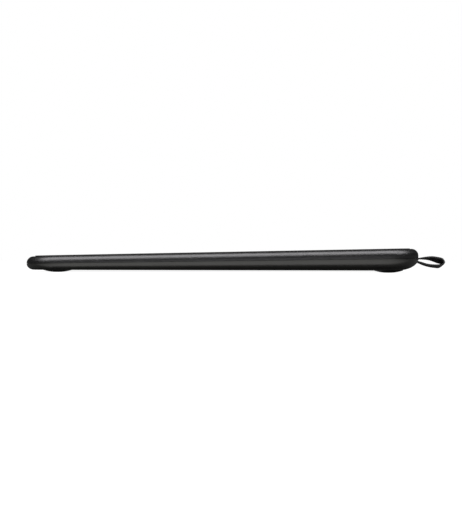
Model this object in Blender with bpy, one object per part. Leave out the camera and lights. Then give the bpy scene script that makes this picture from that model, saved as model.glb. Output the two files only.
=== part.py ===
"""A small graphics tablet: a thin wedge-shaped housing with a drawing surface, four keys along its rear
edge, a fabric pen loop, and the boards, screws and spare nibs inside it.

Metres, +Z up. The housing's front edge faces -Y and the pen loop leaves its rear wall, towards +Y. The
origin is on the desk, below the centre of the tablet and its loop.
"""

import math

import bmesh
import bpy
from mathutils import Matrix, Vector

# Housing, as seen edge-on from the right
HOUSING_WIDTH = 0.224
HOUSING_DEPTH = 0.180
CORNER_RADIUS = 0.014  # of the housing's corners, seen from above
FRONT_HEIGHT = 0.0074  # drawing surface over the desk, carried on to the front edge
REAR_HEIGHT = 0.0113
DESK_CLEARANCE = 0.0010  # between the flat underside and the desk
EDGE_REACH = 0.00305  # rounded upper edge, across and down
EDGE_RISE = 0.00315
LEDGE_WIDTH = 0.00085  # flat rim between the rounded edge and the surface plate
LAND_FRONT = 0.00005  # upright band between the upper curve and the parting line
LAND_REAR = 0.0013
BELLY_FRONT = 0.0034  # how far the lower curve runs in under the housing
BELLY_REAR = 0.0100

# Walls and fits
WALL = 0.0015
WEB = 0.0011  # top cover under the surface plate
FLOOR = 0.0014  # base cover's flat floor
INNER_EDGE_REACH = 0.0016
SMALLEST_CORNER = 0.001
PARTING_GAP = 0.0002
FIT = 0.00025  # between pieces that slide or drop together
GLUE = 0.0001  # between pieces that are bonded or soldered together
LIP_WALL = 0.0008  # the base cover's tongue, inside the top cover's skirt
LIP_ABOVE_LAND = 0.0003
OVERRUN = 0.001  # how far a cutter passes the surface it cuts

# Drawing surface and keys
PLATE_THICKNESS = 0.0008
PLATE_PROUD = 0.0003  # over the housing's rim
KEY_DEPTH = 0.016
KEY_WIDTH = 0.028
KEY_GAP = 0.0004
KEY_POCKET_FIT = 0.0002
KEY_CORNER = 0.0012
KEY_CAP = 0.0008
KEY_TRAVEL = 0.0004
KEY_WEB = 0.0006  # top cover under the keys
KEY_STEM_DEPTH = 0.004
KEY_STEM_DROP = 0.0033  # from the key's face to the end of its stem
KEY_LEG = 0.0012
KEY_LEG_GAP = 0.0014  # between the stem and a leg
KEY_HOOK = 0.0007
KEY_HOOK_HEIGHT = 0.0006
HOOK_MARGIN = 0.0007  # from an outer key's inner side to its hook
HOOK_FROM_BOSS = 0.0010  # from its other hook to the case screw's boss
STEM_SETBACK = 0.0030  # from the middle of a key, towards the front
LIGHT_WIDTH = 0.0070
LIGHT_DEPTH = 0.0012
LIGHT_FOOT = 0.0008  # the light guide's wider foot under the top cover

# Main board, in the rear of the housing
BOARD_THICKNESS = 0.0010
BOARD_DEPTH = 0.013
BOARD_BACK = 0.0110  # from the housing's rear edge to the board's
BOARD_END = 0.0200  # from the housing's side to the board's end
BOARD_TAB_WIDTH = 0.0240
BOARD_TAB_DEPTH = 0.0150
BOARD_TAB_OVERLAP = 0.0030
SWITCH_SIZE = 0.0034
SWITCH_HEIGHT = 0.0005
SWITCH_BUTTON_INSET = 0.0008
SWITCH_BUTTON_RISE = 0.0003
SWITCH_SLACK = 0.00005  # left over a switch when its key is fully pressed
LED_SIZE = 0.0016
LED_HEIGHT = 0.0007
LED_GAP = 0.0002
CHIP_SIZE = 0.0070
CHIP_HEIGHT = 0.0010
SMALL_CHIP_SIZE = 0.0050
CHIP_PLACE = 0.0300  # from the board's middle
USB_WIDTH = 0.0076
USB_HEIGHT = 0.0024
USB_LENGTH = 0.0052
USB_WALL = 0.0003
USB_TONGUE_WIDTH = 0.0038
USB_TONGUE_THICKNESS = 0.0006
USB_TONGUE_SHORT = 0.0010  # from the tongue's end to the socket's mouth
USB_SET_IN = 0.0006  # from the housing's side to the socket's mouth
USB_FROM_TAB = 0.0005
TAB_SET_IN = 0.0034  # from the housing's side to the board's tab
BOARD_POST_RADIUS = 0.0024
BOARD_SCREW_SPACING = 0.040
BOARD_SCREW_FROM_FRONT = 0.0035

# Sensor, under the drawing surface
SENSOR_SIDE = 0.030  # from the housing's side to the sensor's
SENSOR_FRONT = 0.0170  # from the housing's front edge
SENSOR_THICKNESS = 0.0008
SHIELD_THICKNESS = 0.0002
SHIELD_SHORT = 0.0080  # the shield stops this far before the sensor's rear edge
CABLE_WIDTH = 0.0160
CABLE_THICKNESS = 0.0002
CABLE_LAP = 0.0065  # under the sensor's rear edge
CABLE_FROM_BAY = 0.0040  # from the bay's outer wall
CABLE_ENTRY = 0.0006  # over the main board
SOCKET_DEPTH = 0.0035
SOCKET_HEIGHT = 0.0012
SOCKET_SIDE = 0.0012  # connector beyond the cable, each side
SOCKET_BACK = 0.0010
SOCKET_SLOT = 0.0005

# Accessory bays in the underside, closed by one hatch
BAY_DEPTH = 0.0240
BATTERY_BAY_WIDTH = 0.0560
MODULE_BAY_WIDTH = 0.0260
NIB_BAY_WIDTH = 0.0320
BAY_RIB = 0.0014
BAY_CEILING = 0.0009
BAY_CEILING_GAP = 0.0004  # under the top cover, where the housing is thinner
BAY_LEDGE = 0.0024  # the hatch rests against it
BAY_WALL = 0.0012
BAY_FROM_BOARD = 0.0018
SENSOR_FROM_BAY = 0.0008
HATCH_THICKNESS = 0.0011
HATCH_CORNER = 0.0020
HATCH_PEG_WIDTH = 0.0050
HATCH_PEG_DEPTH = 0.0008
HATCH_PEG_RISE = 0.0018
HATCH_PEG_PLACE = 0.0400
HATCH_NOTCH_RADIUS = 0.0060
NOTCH_DEPTH = 0.0007
CONTACT_LENGTH = 0.0030
CONTACT_DEPTH = 0.0100
CONTACT_HEIGHT = 0.0030
RACK_HEIGHT = 0.0030
RACK_FIT = 0.0003
NIB_RADIUS = 0.0008
NIB_TIP_RADIUS = 0.0004
NIB_LENGTH = 0.0070
NIB_TIP_LENGTH = 0.0010
NIB_SPACING = 0.0050
NIB_PLACE = 0.0080  # from the rack's middle to the nibs' middle
RING_RADIUS = 0.0060
RING_WIRE = 0.0006
RING_PLACE = 0.0060
RING_OPENING = 0.35  # radians that the nib ring leaves open, each side of its gap

# Feet and case screws
FOOT_RADIUS = 0.0067
FOOT_FLAT = 0.0015
FOOT_POCKET = 0.0006
FOOT_SIDE = 0.0141  # from the housing's side and front edge to a foot's centre
FOOT_BACK = 0.0137
SCREW_SHANK = 0.0009
SCREW_HEAD = 0.0020
SCREW_HEAD_HEIGHT = 0.0009
SCREW_SEAT = 0.0013  # floor of the head's pocket to the end of the base cover's boss
SCREW_FIT = 0.0001
SCREW_BITE = 0.0005  # into the top cover's web
BOSS_RADIUS = 0.0035
BOSS_GAP = 0.0002
RIB_THICKNESS = 0.0010  # ribs that hold up the sensor under the pen's pressure
RIB_SIDE = 0.012  # from the sensor's edges to the outer ribs
RIB_COUNT = 4

# Pen loop
LOOP_WIDTH = 0.0100
LOOP_THICKNESS = 0.0007
LOOP_SIDE = 0.0280  # from the housing's right side to the loop's middle
LOOP_BELOW_PARTING = 0.00085  # from the parting line at the rear edge to the slot's middle
LOOP_REACH = 0.0141  # past the housing's rear edge
LOOP_RISE = 0.00205  # of the eye's top and bottom from the slot's middle
LOOP_DROP = 0.0025
LOOP_TIP_DROP = 0.0006
LOOP_PAIR_GAP = 0.0002  # between the two runs in the slot
LOOP_SLOT_FIT = 0.00025
LOOP_TWIST = 0.0015  # how far the upper run's inner edge droops
ROD_RADIUS = 0.0008
ROD_LENGTH = 0.0150
ROD_BACK = 0.0065  # from the housing's rear edge
CRADLE_WALL = 0.0012
CRADLE_FIT = 0.0002

CORNER_STEPS = 8
EDGE_STEPS = 6
BELLY_STEPS = 7
ROUND_STEPS = 20
SMALL_ROUND_STEPS = 12
LOOP_STEPS = 44
CURVE_STEPS = 12  # between two points of the loop's line, before it is evened out
ROD_TURN_STEPS = 5
SHARP_ANGLE = math.radians(30)

# The eye of the pen loop outside the housing: shares of its reach, and of its rise or drop
EYE_TOP_SHARES = ((0.15, 0.36), (0.34, 0.76), (0.56, 1.0), (0.76, 0.82), (0.90, 0.22))
EYE_BOTTOM_SHARES = (
    (0.967, 0.36),
    (0.938, 0.80),
    (0.89, 1.06),
    (0.80, 1.03),
    (0.66, 0.97),
    (0.50, 0.92),
    (0.36, 0.78),
    (0.24, 0.44),
    (0.12, 0.14),
)
LOWER_TWIST_SHARE = 0.75  # of the loop's twist, in its lower run

# Places that follow from the sizes above, measured from the middle of the housing
HALF_WIDTH = HOUSING_WIDTH / 2
HALF_DEPTH = HOUSING_DEPTH / 2
PLATE_INSET = EDGE_REACH + LEDGE_WIDTH
TILT = math.atan((REAR_HEIGHT - FRONT_HEIGHT) / HOUSING_DEPTH)
FLOOR_TOP = DESK_CLEARANCE + FLOOR

RECESS_DROP = PLATE_THICKNESS + GLUE  # drops are measured down from the drawing surface
WEB_DROP = RECESS_DROP + WEB
SENSOR_DROP = WEB_DROP + GLUE
SHIELD_DROP = SENSOR_DROP + SENSOR_THICKNESS + GLUE
KEY_POCKET_DROP = WEB_DROP - KEY_WEB
SWITCH_TOP_DROP = KEY_STEM_DROP + KEY_TRAVEL + SWITCH_SLACK
BOARD_DROP = SWITCH_TOP_DROP + SWITCH_BUTTON_RISE + SWITCH_HEIGHT + GLUE
BOARD_UNDER_DROP = BOARD_DROP + BOARD_THICKNESS

BOARD_REAR = HALF_DEPTH - BOARD_BACK
BOARD_FRONT = BOARD_REAR - BOARD_DEPTH
BAY_REAR = BOARD_FRONT - BAY_FROM_BOARD - BAY_WALL - BAY_LEDGE
BAY_FRONT = BAY_REAR - BAY_DEPTH
SENSOR_REAR = BAY_FRONT - BAY_LEDGE - BAY_WALL - SENSOR_FROM_BAY
SENSOR_NEAR = SENSOR_FRONT - HALF_DEPTH
KEY_REAR = HALF_DEPTH - PLATE_INSET
KEY_FRONT = KEY_REAR - KEY_DEPTH
KEY_OUTER_SIDE = HALF_WIDTH - PLATE_INSET
KEY_INNER_SIDE = KEY_OUTER_SIDE - KEY_WIDTH  # of an outer key
HOOKS_NEAR = KEY_INNER_SIDE + HOOK_MARGIN
HOOKS_FAR = HALF_WIDTH - FOOT_SIDE - BOSS_RADIUS - HOOK_FROM_BOSS
KEY_LEG_OFFSET = (HOOKS_FAR - HOOKS_NEAR) / 2 - KEY_HOOK - KEY_LEG / 2  # from the stem's centre
KEY_STEM_WIDTH = 2 * (KEY_LEG_OFFSET - KEY_LEG / 2 - KEY_LEG_GAP)
STEM_Y = (KEY_FRONT + KEY_REAR) / 2 - STEM_SETBACK
BOARD_HALF_LENGTH = HALF_WIDTH - BOARD_END
SENSOR_HALF_WIDTH = HALF_WIDTH - SENSOR_SIDE
LOOP_PLACE = HALF_WIDTH - LOOP_SIDE
ROD_PLACE = HALF_DEPTH - ROD_BACK
HEAD_FLOOR = DESK_CLEARANCE + FOOT_POCKET + GLUE + SCREW_HEAD_HEIGHT + SCREW_FIT
SCREW_HOLE = SCREW_SHANK + SCREW_FIT

BAY_SPAN = BATTERY_BAY_WIDTH + MODULE_BAY_WIDTH + NIB_BAY_WIDTH + 2 * BAY_RIB
BATTERY_BAY = (-BAY_SPAN / 2, -BAY_SPAN / 2 + BATTERY_BAY_WIDTH)
MODULE_BAY = (BATTERY_BAY[1] + BAY_RIB, BATTERY_BAY[1] + BAY_RIB + MODULE_BAY_WIDTH)
NIB_BAY = (MODULE_BAY[1] + BAY_RIB, BAY_SPAN / 2)


def mix(start, end, share):
    return start + (end - start) * share


def share_back(y):
    """0 at the housing's front edge and 1 at its rear edge."""
    return (y + HALF_DEPTH) / HOUSING_DEPTH


def surface_height(y):
    return mix(FRONT_HEIGHT, REAR_HEIGHT, share_back(y))


def rim_height(y):
    return surface_height(y) - PLATE_PROUD


def land_top(y):
    return rim_height(y) - EDGE_RISE


def parting_height(y):
    return land_top(y) - mix(LAND_FRONT, LAND_REAR, share_back(y))


def belly(y):
    return mix(BELLY_FRONT, BELLY_REAR, share_back(y))


def ceiling_height(y):
    """Underside of the top cover's web."""
    return surface_height(y) - WEB_DROP


BAY_TOP = ceiling_height(BAY_FRONT - BAY_LEDGE - BAY_WALL) - BAY_CEILING_GAP
BAY_ROOF = BAY_TOP - BAY_CEILING
HATCH_LEDGE = DESK_CLEARANCE + HATCH_THICKNESS + FIT
LOOP_HEIGHT = parting_height(HALF_DEPTH) - LOOP_BELOW_PARTING

# Moulded, printed and metal finishes: colour, roughness, metallic
TEXTURED_ABS = ((0.014, 0.014, 0.015), 0.42, 0.0)
SATIN_ABS = ((0.012, 0.012, 0.012), 0.38, 0.0)
SURFACE_FILM = ((0.012, 0.012, 0.013), 0.55, 0.0)
INNER_PLASTIC = ((0.02, 0.02, 0.02), 0.6, 0.0)
RUBBER = ((0.010, 0.010, 0.010), 0.75, 0.0)
WEBBING = ((0.008, 0.008, 0.008), 0.9, 0.0)
STEEL = ((0.55, 0.56, 0.57), 0.3, 1.0)
BOARD_RESIN = ((0.01, 0.09, 0.04), 0.45, 0.0)
FLEX_FILM = ((0.5, 0.32, 0.08), 0.4, 0.0)
CHIP_EPOXY = ((0.015, 0.015, 0.016), 0.5, 0.0)
CLEAR_PLASTIC = ((0.8, 0.85, 0.9), 0.15, 0.0)
NIB_PLASTIC = ((0.02, 0.02, 0.022), 0.5, 0.0)


def clear_scene():
    for thing in list(bpy.data.objects):
        bpy.data.objects.remove(thing)


def finish_material(name, finish):
    colour, roughness, metallic = finish
    material = bpy.data.materials.new(name)
    material.use_nodes = True
    shader = material.node_tree.nodes["Principled BSDF"]
    shader.inputs["Base Color"].default_value = (*colour, 1.0)
    shader.inputs["Roughness"].default_value = roughness
    shader.inputs["Metallic"].default_value = metallic
    return material


def empty(name, parent, place, rotation=(0, 0, 0)):
    frame = bpy.data.objects.new(name, None)
    bpy.context.scene.collection.objects.link(frame)
    frame.parent = parent
    frame.location = place
    frame.rotation_euler = rotation
    return frame


def mesh_object(name, bm, parent, finish=None):
    """Makes an object of a bmesh. Without a finish it only joins or cuts another, and isn't shown."""
    bmesh.ops.recalc_face_normals(bm, faces=bm.faces)
    mesh = bpy.data.meshes.new(name)
    bm.to_mesh(mesh)
    bm.free()
    thing = bpy.data.objects.new(name, mesh)
    bpy.context.scene.collection.objects.link(thing)
    thing.parent = parent
    if finish is None:
        thing.hide_render = True
        thing.display_type = "WIRE"
    else:
        mesh.materials.append(finish_material(name, finish))
    return thing


def combine(thing, operation, helper):
    """Joins the helper's shape to a thing, or cuts it out."""
    modifier = thing.modifiers.new(helper.name, "BOOLEAN")
    modifier.operation = operation
    modifier.object = helper
    modifier.solver = "EXACT"


def join(thing, name, bm, parent):
    combine(thing, "UNION", mesh_object(name, bm, parent))


def cut(thing, name, bm, parent):
    combine(thing, "DIFFERENCE", mesh_object(name, bm, parent))


def add_loft(bm, rings, closed=False):
    """Joins rings of points with quads. An open loft gets a face at each end."""
    rows = [[bm.verts.new(point) for point in ring] for ring in rings]
    pairs = list(zip(rows, rows[1:]))
    if closed:
        pairs.append((rows[-1], rows[0]))
    for low, high in pairs:
        for i in range(len(low)):
            j = (i + 1) % len(low)
            bm.faces.new((low[i], low[j], high[j], high[i]))
    if not closed:
        bm.faces.new(rows[0])
        bm.faces.new(rows[-1])
    return bm


def add_box(bm, low, high):
    centre = (Vector(low) + Vector(high)) / 2
    size = Vector(high) - Vector(low)
    bmesh.ops.create_cube(bm, size=1, matrix=Matrix.Translation(centre) @ Matrix.Diagonal((*size, 1)))
    return bm


def circle(radius, x, y, z, steps):
    angles = [math.tau * i / steps for i in range(steps)]
    return [Vector((x + radius * math.cos(a), y + radius * math.sin(a), z)) for a in angles]


def add_turned(bm, profile, x=0.0, y=0.0, steps=ROUND_STEPS):
    """A round solid about a vertical line through x, y, from its radii and heights, bottom to top."""
    return add_loft(bm, [circle(radius, x, y, z, steps) for radius, z in profile])


def add_slab(bm, outline, low, high):
    return add_loft(bm, [[Vector((x, y, z)) for x, y in outline] for z in (low, high)])


def add_extruded_x(bm, section, left, right):
    """A solid of the same section all along X. The section is a list of (y, z)."""
    return add_loft(bm, [[Vector((x, y, z)) for y, z in section] for x in (left, right)])


def filleted(corners, steps=4):
    """An outline of (x, y, radius) corners with each corner rounded by an arc."""
    outline = []
    for i, (x, y, radius) in enumerate(corners):
        here = Vector((x, y))
        back = (Vector(corners[i - 1][:2]) - here).normalized()
        on = (Vector(corners[(i + 1) % len(corners)][:2]) - here).normalized()
        if radius <= 0:
            outline.append((x, y))
            continue
        half = back.angle(on) / 2
        centre = here + (back + on).normalized() * (radius / math.sin(half))
        start = here + back * (radius / math.tan(half)) - centre
        end = here + on * (radius / math.tan(half)) - centre
        turn = start.angle_signed(end)
        for step in range(steps + 1):
            angle = -turn * step / steps
            spoke = Matrix.Rotation(angle, 2) @ start
            outline.append(tuple(centre + spoke))
    return outline


def rectangle(x0, x1, y0, y1, radius, steps=4):
    return filleted([(x0, y0, radius), (x1, y0, radius), (x1, y1, radius), (x0, y1, radius)], steps)


def housing_ring(inset, height):
    """A ring round the housing. Its inset from the housing's side and its height are functions of y."""
    ring = []
    cx = HALF_WIDTH - CORNER_RADIUS
    cy = HALF_DEPTH - CORNER_RADIUS
    for side_x, side_y, start in ((1, 1, 0), (-1, 1, 1), (-1, -1, 2), (1, -1, 3)):
        for step in range(CORNER_STEPS + 1):
            angle = (start + step / CORNER_STEPS) * math.pi / 2
            spoke = Vector((math.cos(angle), math.sin(angle)))
            depth = inset(side_y * cy + CORNER_RADIUS * spoke.y)
            radius = max(CORNER_RADIUS - depth, SMALLEST_CORNER)
            shift = max(depth - (CORNER_RADIUS - SMALLEST_CORNER), 0)
            x = side_x * (cx - shift) + radius * spoke.x
            y = side_y * (cy - shift) + radius * spoke.y
            ring.append(Vector((x, y, height(y))))
    return ring


def quarter(steps):
    return [math.pi / 2 * i / steps for i in range(steps + 1)]


def top_cover_shell():
    """Recess floor, rim, rounded edge, upright land, then up inside to the ceiling."""
    recess = PLATE_INSET - FIT
    rings = [
        housing_ring(lambda y: recess, lambda y: surface_height(y) - RECESS_DROP),
        housing_ring(lambda y: recess, rim_height),
    ]
    for angle in reversed(quarter(EDGE_STEPS)):
        rings.append(
            housing_ring(
                lambda y, a=angle: EDGE_REACH * (1 - math.cos(a)),
                lambda y, a=angle: land_top(y) + EDGE_RISE * math.sin(a),
            )
        )
    rings.append(housing_ring(lambda y: 0, lambda y: parting_height(y) + PARTING_GAP / 2))
    rings.append(housing_ring(lambda y: WALL, lambda y: parting_height(y) + PARTING_GAP / 2))
    for angle in quarter(EDGE_STEPS):
        rings.append(
            housing_ring(
                lambda y, a=angle: WALL + INNER_EDGE_REACH * (1 - math.cos(a)),
                lambda y, a=angle: mix(land_top(y), ceiling_height(y), math.sin(a)),
            )
        )
    return add_loft(bmesh.new(), rings)


def base_cover_shell():
    """Flat underside, lower curve, tongue, then down inside to the floor."""
    tongue = WALL + FIT
    inside = tongue + LIP_WALL
    rings = []
    for angle in reversed(quarter(BELLY_STEPS)):
        rings.append(
            housing_ring(
                lambda y, a=angle: belly(y) * (1 - math.cos(a)),
                lambda y, a=angle: mix(parting_height(y) - PARTING_GAP / 2, DESK_CLEARANCE, math.sin(a)),
            )
        )
    for inset, height in (
        (tongue, lambda y: parting_height(y) - PARTING_GAP / 2),
        (tongue, lambda y: land_top(y) + LIP_ABOVE_LAND),
        (inside, lambda y: land_top(y) + LIP_ABOVE_LAND),
    ):
        rings.append(housing_ring(lambda y, i=inset: i, height))
    for angle in quarter(BELLY_STEPS):
        rings.append(
            housing_ring(
                lambda y, a=angle: inside + (belly(y) + WALL - inside) * (1 - math.cos(a)),
                lambda y, a=angle: mix(parting_height(y) - PARTING_GAP / 2, FLOOR_TOP, math.sin(a)),
            )
        )
    return add_loft(bmesh.new(), rings)


def foot_places():
    return [
        (side * (HALF_WIDTH - FOOT_SIDE), y, f"{end}_{hand}")
        for end, y in (("front", FOOT_SIDE - HALF_DEPTH), ("rear", HALF_DEPTH - FOOT_BACK))
        for hand, side in (("left", -1), ("right", 1))
    ]


def boss_split(y):
    """Height where a case screw's lower boss, in the base cover, meets the upper one."""
    return max(mix(FLOOR_TOP, ceiling_height(y), 0.5), HEAD_FLOOR + SCREW_SEAT)


def key_spans():
    """Name, left, right and stem place of each key, left to right."""
    outer, middle = KEY_OUTER_SIDE, KEY_INNER_SIDE
    inner = middle - KEY_GAP - KEY_WIDTH
    stem = (HOOKS_NEAR + HOOKS_FAR) / 2
    spans = []
    for side, names in ((-1, ("key_1", "key_2")), (1, ("key_4", "key_3"))):
        spans.append((names[0], *sorted((side * outer, side * middle)), side * stem))
        near, far = sorted((side * (middle - KEY_GAP), side * inner))
        spans.append((names[1], near, far, (near + far) / 2))
    return sorted(spans)


def key_outline(left, right, grow=0.0):
    """A key, or a pair of them, seen from above. An outer corner is the drawing surface's own."""
    surface_corner = CORNER_RADIUS - PLATE_INSET + grow
    corners = []
    for x, y in ((left, KEY_FRONT), (right, KEY_FRONT), (right, KEY_REAR), (left, KEY_REAR)):
        at_corner = y == KEY_REAR and abs(x) == KEY_OUTER_SIDE
        out_x = grow if x == right else -grow
        out_y = grow if y == KEY_REAR else -grow
        corners.append((x + out_x, y + out_y, surface_corner if at_corner else KEY_CORNER))
    return filleted(corners, CORNER_STEPS // 2)


def board_screw_places():
    return [(i * BOARD_SCREW_SPACING, BOARD_FRONT + BOARD_SCREW_FROM_FRONT) for i in (-1, 0, 1)]


def usb_place():
    """Middle of the socket along Y, and its mouth along X."""
    tab_front = BOARD_FRONT + BOARD_TAB_OVERLAP - BOARD_TAB_DEPTH
    return tab_front + USB_FROM_TAB + USB_WIDTH / 2, -HALF_WIDTH + USB_SET_IN


def usb_hole():
    y, mouth = usb_place()
    top = GLUE - BOARD_DROP + USB_HEIGHT + FIT
    bottom = GLUE - BOARD_DROP - FIT
    half = USB_WIDTH / 2 + FIT
    low, high = (-HALF_WIDTH - OVERRUN, y - half, bottom), (mouth + USB_LENGTH, y + half, top)
    return add_box(bmesh.new(), low, high)


def loop_slot_half_height():
    return LOOP_PAIR_GAP / 2 + LOOP_THICKNESS + LOOP_SLOT_FIT


def loop_slot(inner_y, low, high):
    """The slot for the loop, from inner_y out through the rear wall."""
    half = LOOP_WIDTH / 2 + FIT
    return (LOOP_PLACE - half, inner_y, low), (LOOP_PLACE + half, HALF_DEPTH + OVERRUN, high)


def cradle_spans():
    """Left and right of the two walls that hold the loop's rod."""
    near = LOOP_WIDTH / 2 + FIT + CRADLE_FIT
    far = near + CRADLE_WALL
    return (LOOP_PLACE - far, LOOP_PLACE - near), (LOOP_PLACE + near, LOOP_PLACE + far)


def top_cover_posts():
    """Upper screw bosses, and the stops over the loop's rod."""
    posts = bmesh.new()
    for x, y, _ in foot_places():
        low, high = boss_split(y) + BOSS_GAP, ceiling_height(y) + WEB / 2
        add_turned(posts, ((BOSS_RADIUS, low), (BOSS_RADIUS, high)), x, y)
    reach = ROD_RADIUS + CRADLE_WALL
    low = LOOP_HEIGHT + ROD_RADIUS + CRADLE_FIT
    for left, right in cradle_spans():
        high = ceiling_height(ROD_PLACE) + WEB / 2
        add_box(posts, (left, ROD_PLACE - reach, low), (right, ROD_PLACE + reach, high))
    return posts


def board_posts():
    posts = bmesh.new()
    for x, y in board_screw_places():
        low, high = GLUE - BOARD_DROP, WEB / 2 - WEB_DROP
        add_turned(posts, ((BOARD_POST_RADIUS, low), (BOARD_POST_RADIUS, high)), x, y)
    return posts


def top_cover_holes():
    """Pilot holes for the case screws, and the upper part of the loop's slot."""
    holes = bmesh.new()
    for x, y, _ in foot_places():
        low, high = boss_split(y) - OVERRUN, ceiling_height(y) + SCREW_BITE + SCREW_FIT
        add_turned(holes, ((SCREW_HOLE, low), (SCREW_HOLE, high)), x, y, SMALL_ROUND_STEPS)
    half = loop_slot_half_height()
    inner_y = HALF_DEPTH - WALL - INNER_EDGE_REACH
    add_box(holes, *loop_slot(inner_y, LOOP_HEIGHT - half, LOOP_HEIGHT + half))
    return holes


def key_pockets():
    """One pocket for each pair of keys."""
    pockets = bmesh.new()
    spans = key_spans()
    for (_, left, _, _), (_, _, right, _) in ((spans[0], spans[1]), (spans[2], spans[3])):
        outline = key_outline(left, right, KEY_POCKET_FIT)
        add_slab(pockets, outline, -KEY_POCKET_DROP, OVERRUN)
    return pockets


def top_cover_windows():
    """Openings for the keys' stems and legs and for the light guide, and pilot holes in the board posts."""
    windows = bmesh.new()
    half_x = KEY_LEG_OFFSET + KEY_LEG / 2 + FIT
    half_y = KEY_STEM_DEPTH / 2 + FIT
    low = -WEB_DROP - OVERRUN
    for _, _, _, stem in key_spans():
        add_box(windows, (stem - half_x, STEM_Y - half_y, low), (stem + half_x, STEM_Y + half_y, OVERRUN))
    half_x, half_y = LIGHT_WIDTH / 2 + FIT, LIGHT_DEPTH / 2 + FIT
    add_box(windows, (-half_x, STEM_Y - half_y, low), (half_x, STEM_Y + half_y, OVERRUN))
    for x, y in board_screw_places():
        hole = ((SCREW_HOLE, -BOARD_DROP - OVERRUN), (SCREW_HOLE, -WEB_DROP))
        add_turned(windows, hole, x, y, SMALL_ROUND_STEPS)
    return windows


def make_top_cover(housing, surface):
    cover = mesh_object("top_cover", top_cover_shell(), housing, TEXTURED_ABS)
    join(cover, "top_cover_posts", top_cover_posts(), housing)
    join(cover, "board_posts", board_posts(), surface)
    cut(cover, "top_cover_holes", top_cover_holes(), housing)
    cut(cover, "key_pockets", key_pockets(), surface)
    cut(cover, "top_cover_windows", top_cover_windows(), surface)
    cut(cover, "top_cover_usb_hole", usb_hole(), surface)


def bay_outline(grow, radius):
    half = BAY_SPAN / 2 + grow
    return rectangle(-half, half, BAY_FRONT - grow, BAY_REAR + grow, radius)


def hatch_peg_places():
    return [
        (x, y)
        for x in (-HATCH_PEG_PLACE, HATCH_PEG_PLACE)
        for y in (BAY_FRONT - BAY_LEDGE / 2, BAY_REAR + BAY_LEDGE / 2)
    ]


def base_cover_bosses():
    """Lower screw bosses, the cradle of the loop's rod, and the block that holds the bays."""
    bosses = bmesh.new()
    low = FLOOR_TOP - FLOOR / 2
    for x, y, _ in foot_places():
        add_turned(bosses, ((BOSS_RADIUS, low), (BOSS_RADIUS, boss_split(y))), x, y)
    reach = ROD_RADIUS + CRADLE_WALL
    for left, right in cradle_spans():
        add_box(bosses, (left, ROD_PLACE - reach, low), (right, ROD_PLACE + reach, LOOP_HEIGHT))
    add_slab(bosses, bay_outline(BAY_LEDGE + BAY_WALL, HATCH_CORNER), low, BAY_TOP)
    return bosses


def sensor_ribs():
    """Long ribs on the base cover's floor, up to just under the shield sheet."""
    ribs = bmesh.new()
    low = FLOOR_TOP - FLOOR / 2
    drop = SHIELD_DROP + SHIELD_THICKNESS + FIT
    front, rear = SENSOR_NEAR + RIB_SIDE, SENSOR_REAR - RIB_SIDE
    section = [
        (front, low),
        (rear, low),
        (rear, surface_height(rear) - drop),
        (front, surface_height(front) - drop),
    ]
    outer = SENSOR_HALF_WIDTH - RIB_SIDE
    for i in range(RIB_COUNT):
        x = mix(-outer, outer, i / (RIB_COUNT - 1))
        add_extruded_x(ribs, section, x - RIB_THICKNESS / 2, x + RIB_THICKNESS / 2)
    return ribs


def base_cover_recesses():
    """Pockets for the feet and for the hatch."""
    recesses = bmesh.new()
    radius = FOOT_RADIUS + FIT
    for x, y, _ in foot_places():
        profile = ((radius, -OVERRUN), (radius, DESK_CLEARANCE + FOOT_POCKET + GLUE))
        add_turned(recesses, profile, x, y)
    add_slab(recesses, bay_outline(BAY_LEDGE, HATCH_CORNER), -OVERRUN, HATCH_LEDGE)
    return recesses


def base_cover_holes():
    """Screw head pockets, the three bays, the hatch's peg holes, and room for the loop round its rod."""
    holes = bmesh.new()
    head = SCREW_HEAD + SCREW_FIT
    for x, y, _ in foot_places():
        add_turned(holes, ((head, 0), (head, HEAD_FLOOR)), x, y, SMALL_ROUND_STEPS)
    for left, right in (BATTERY_BAY, MODULE_BAY, NIB_BAY):
        add_slab(holes, rectangle(left, right, BAY_FRONT, BAY_REAR, SMALLEST_CORNER), 0, BAY_ROOF)
    half_x, half_y = HATCH_PEG_WIDTH / 2 + FIT, HATCH_PEG_DEPTH / 2 + FIT
    for x, y in hatch_peg_places():
        high = HATCH_LEDGE + HATCH_PEG_RISE
        add_box(holes, (x - half_x, y - half_y, 0), (x + half_x, y + half_y, high))
    half = LOOP_WIDTH / 2 + FIT
    low = LOOP_HEIGHT - ROD_RADIUS - GLUE - LOOP_THICKNESS - LOOP_SLOT_FIT
    outer_y = HALF_DEPTH - ROD_BACK / 2
    add_box(holes, (LOOP_PLACE - half, ROD_PLACE, low), (LOOP_PLACE + half, outer_y, LOOP_HEIGHT))
    return holes


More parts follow.
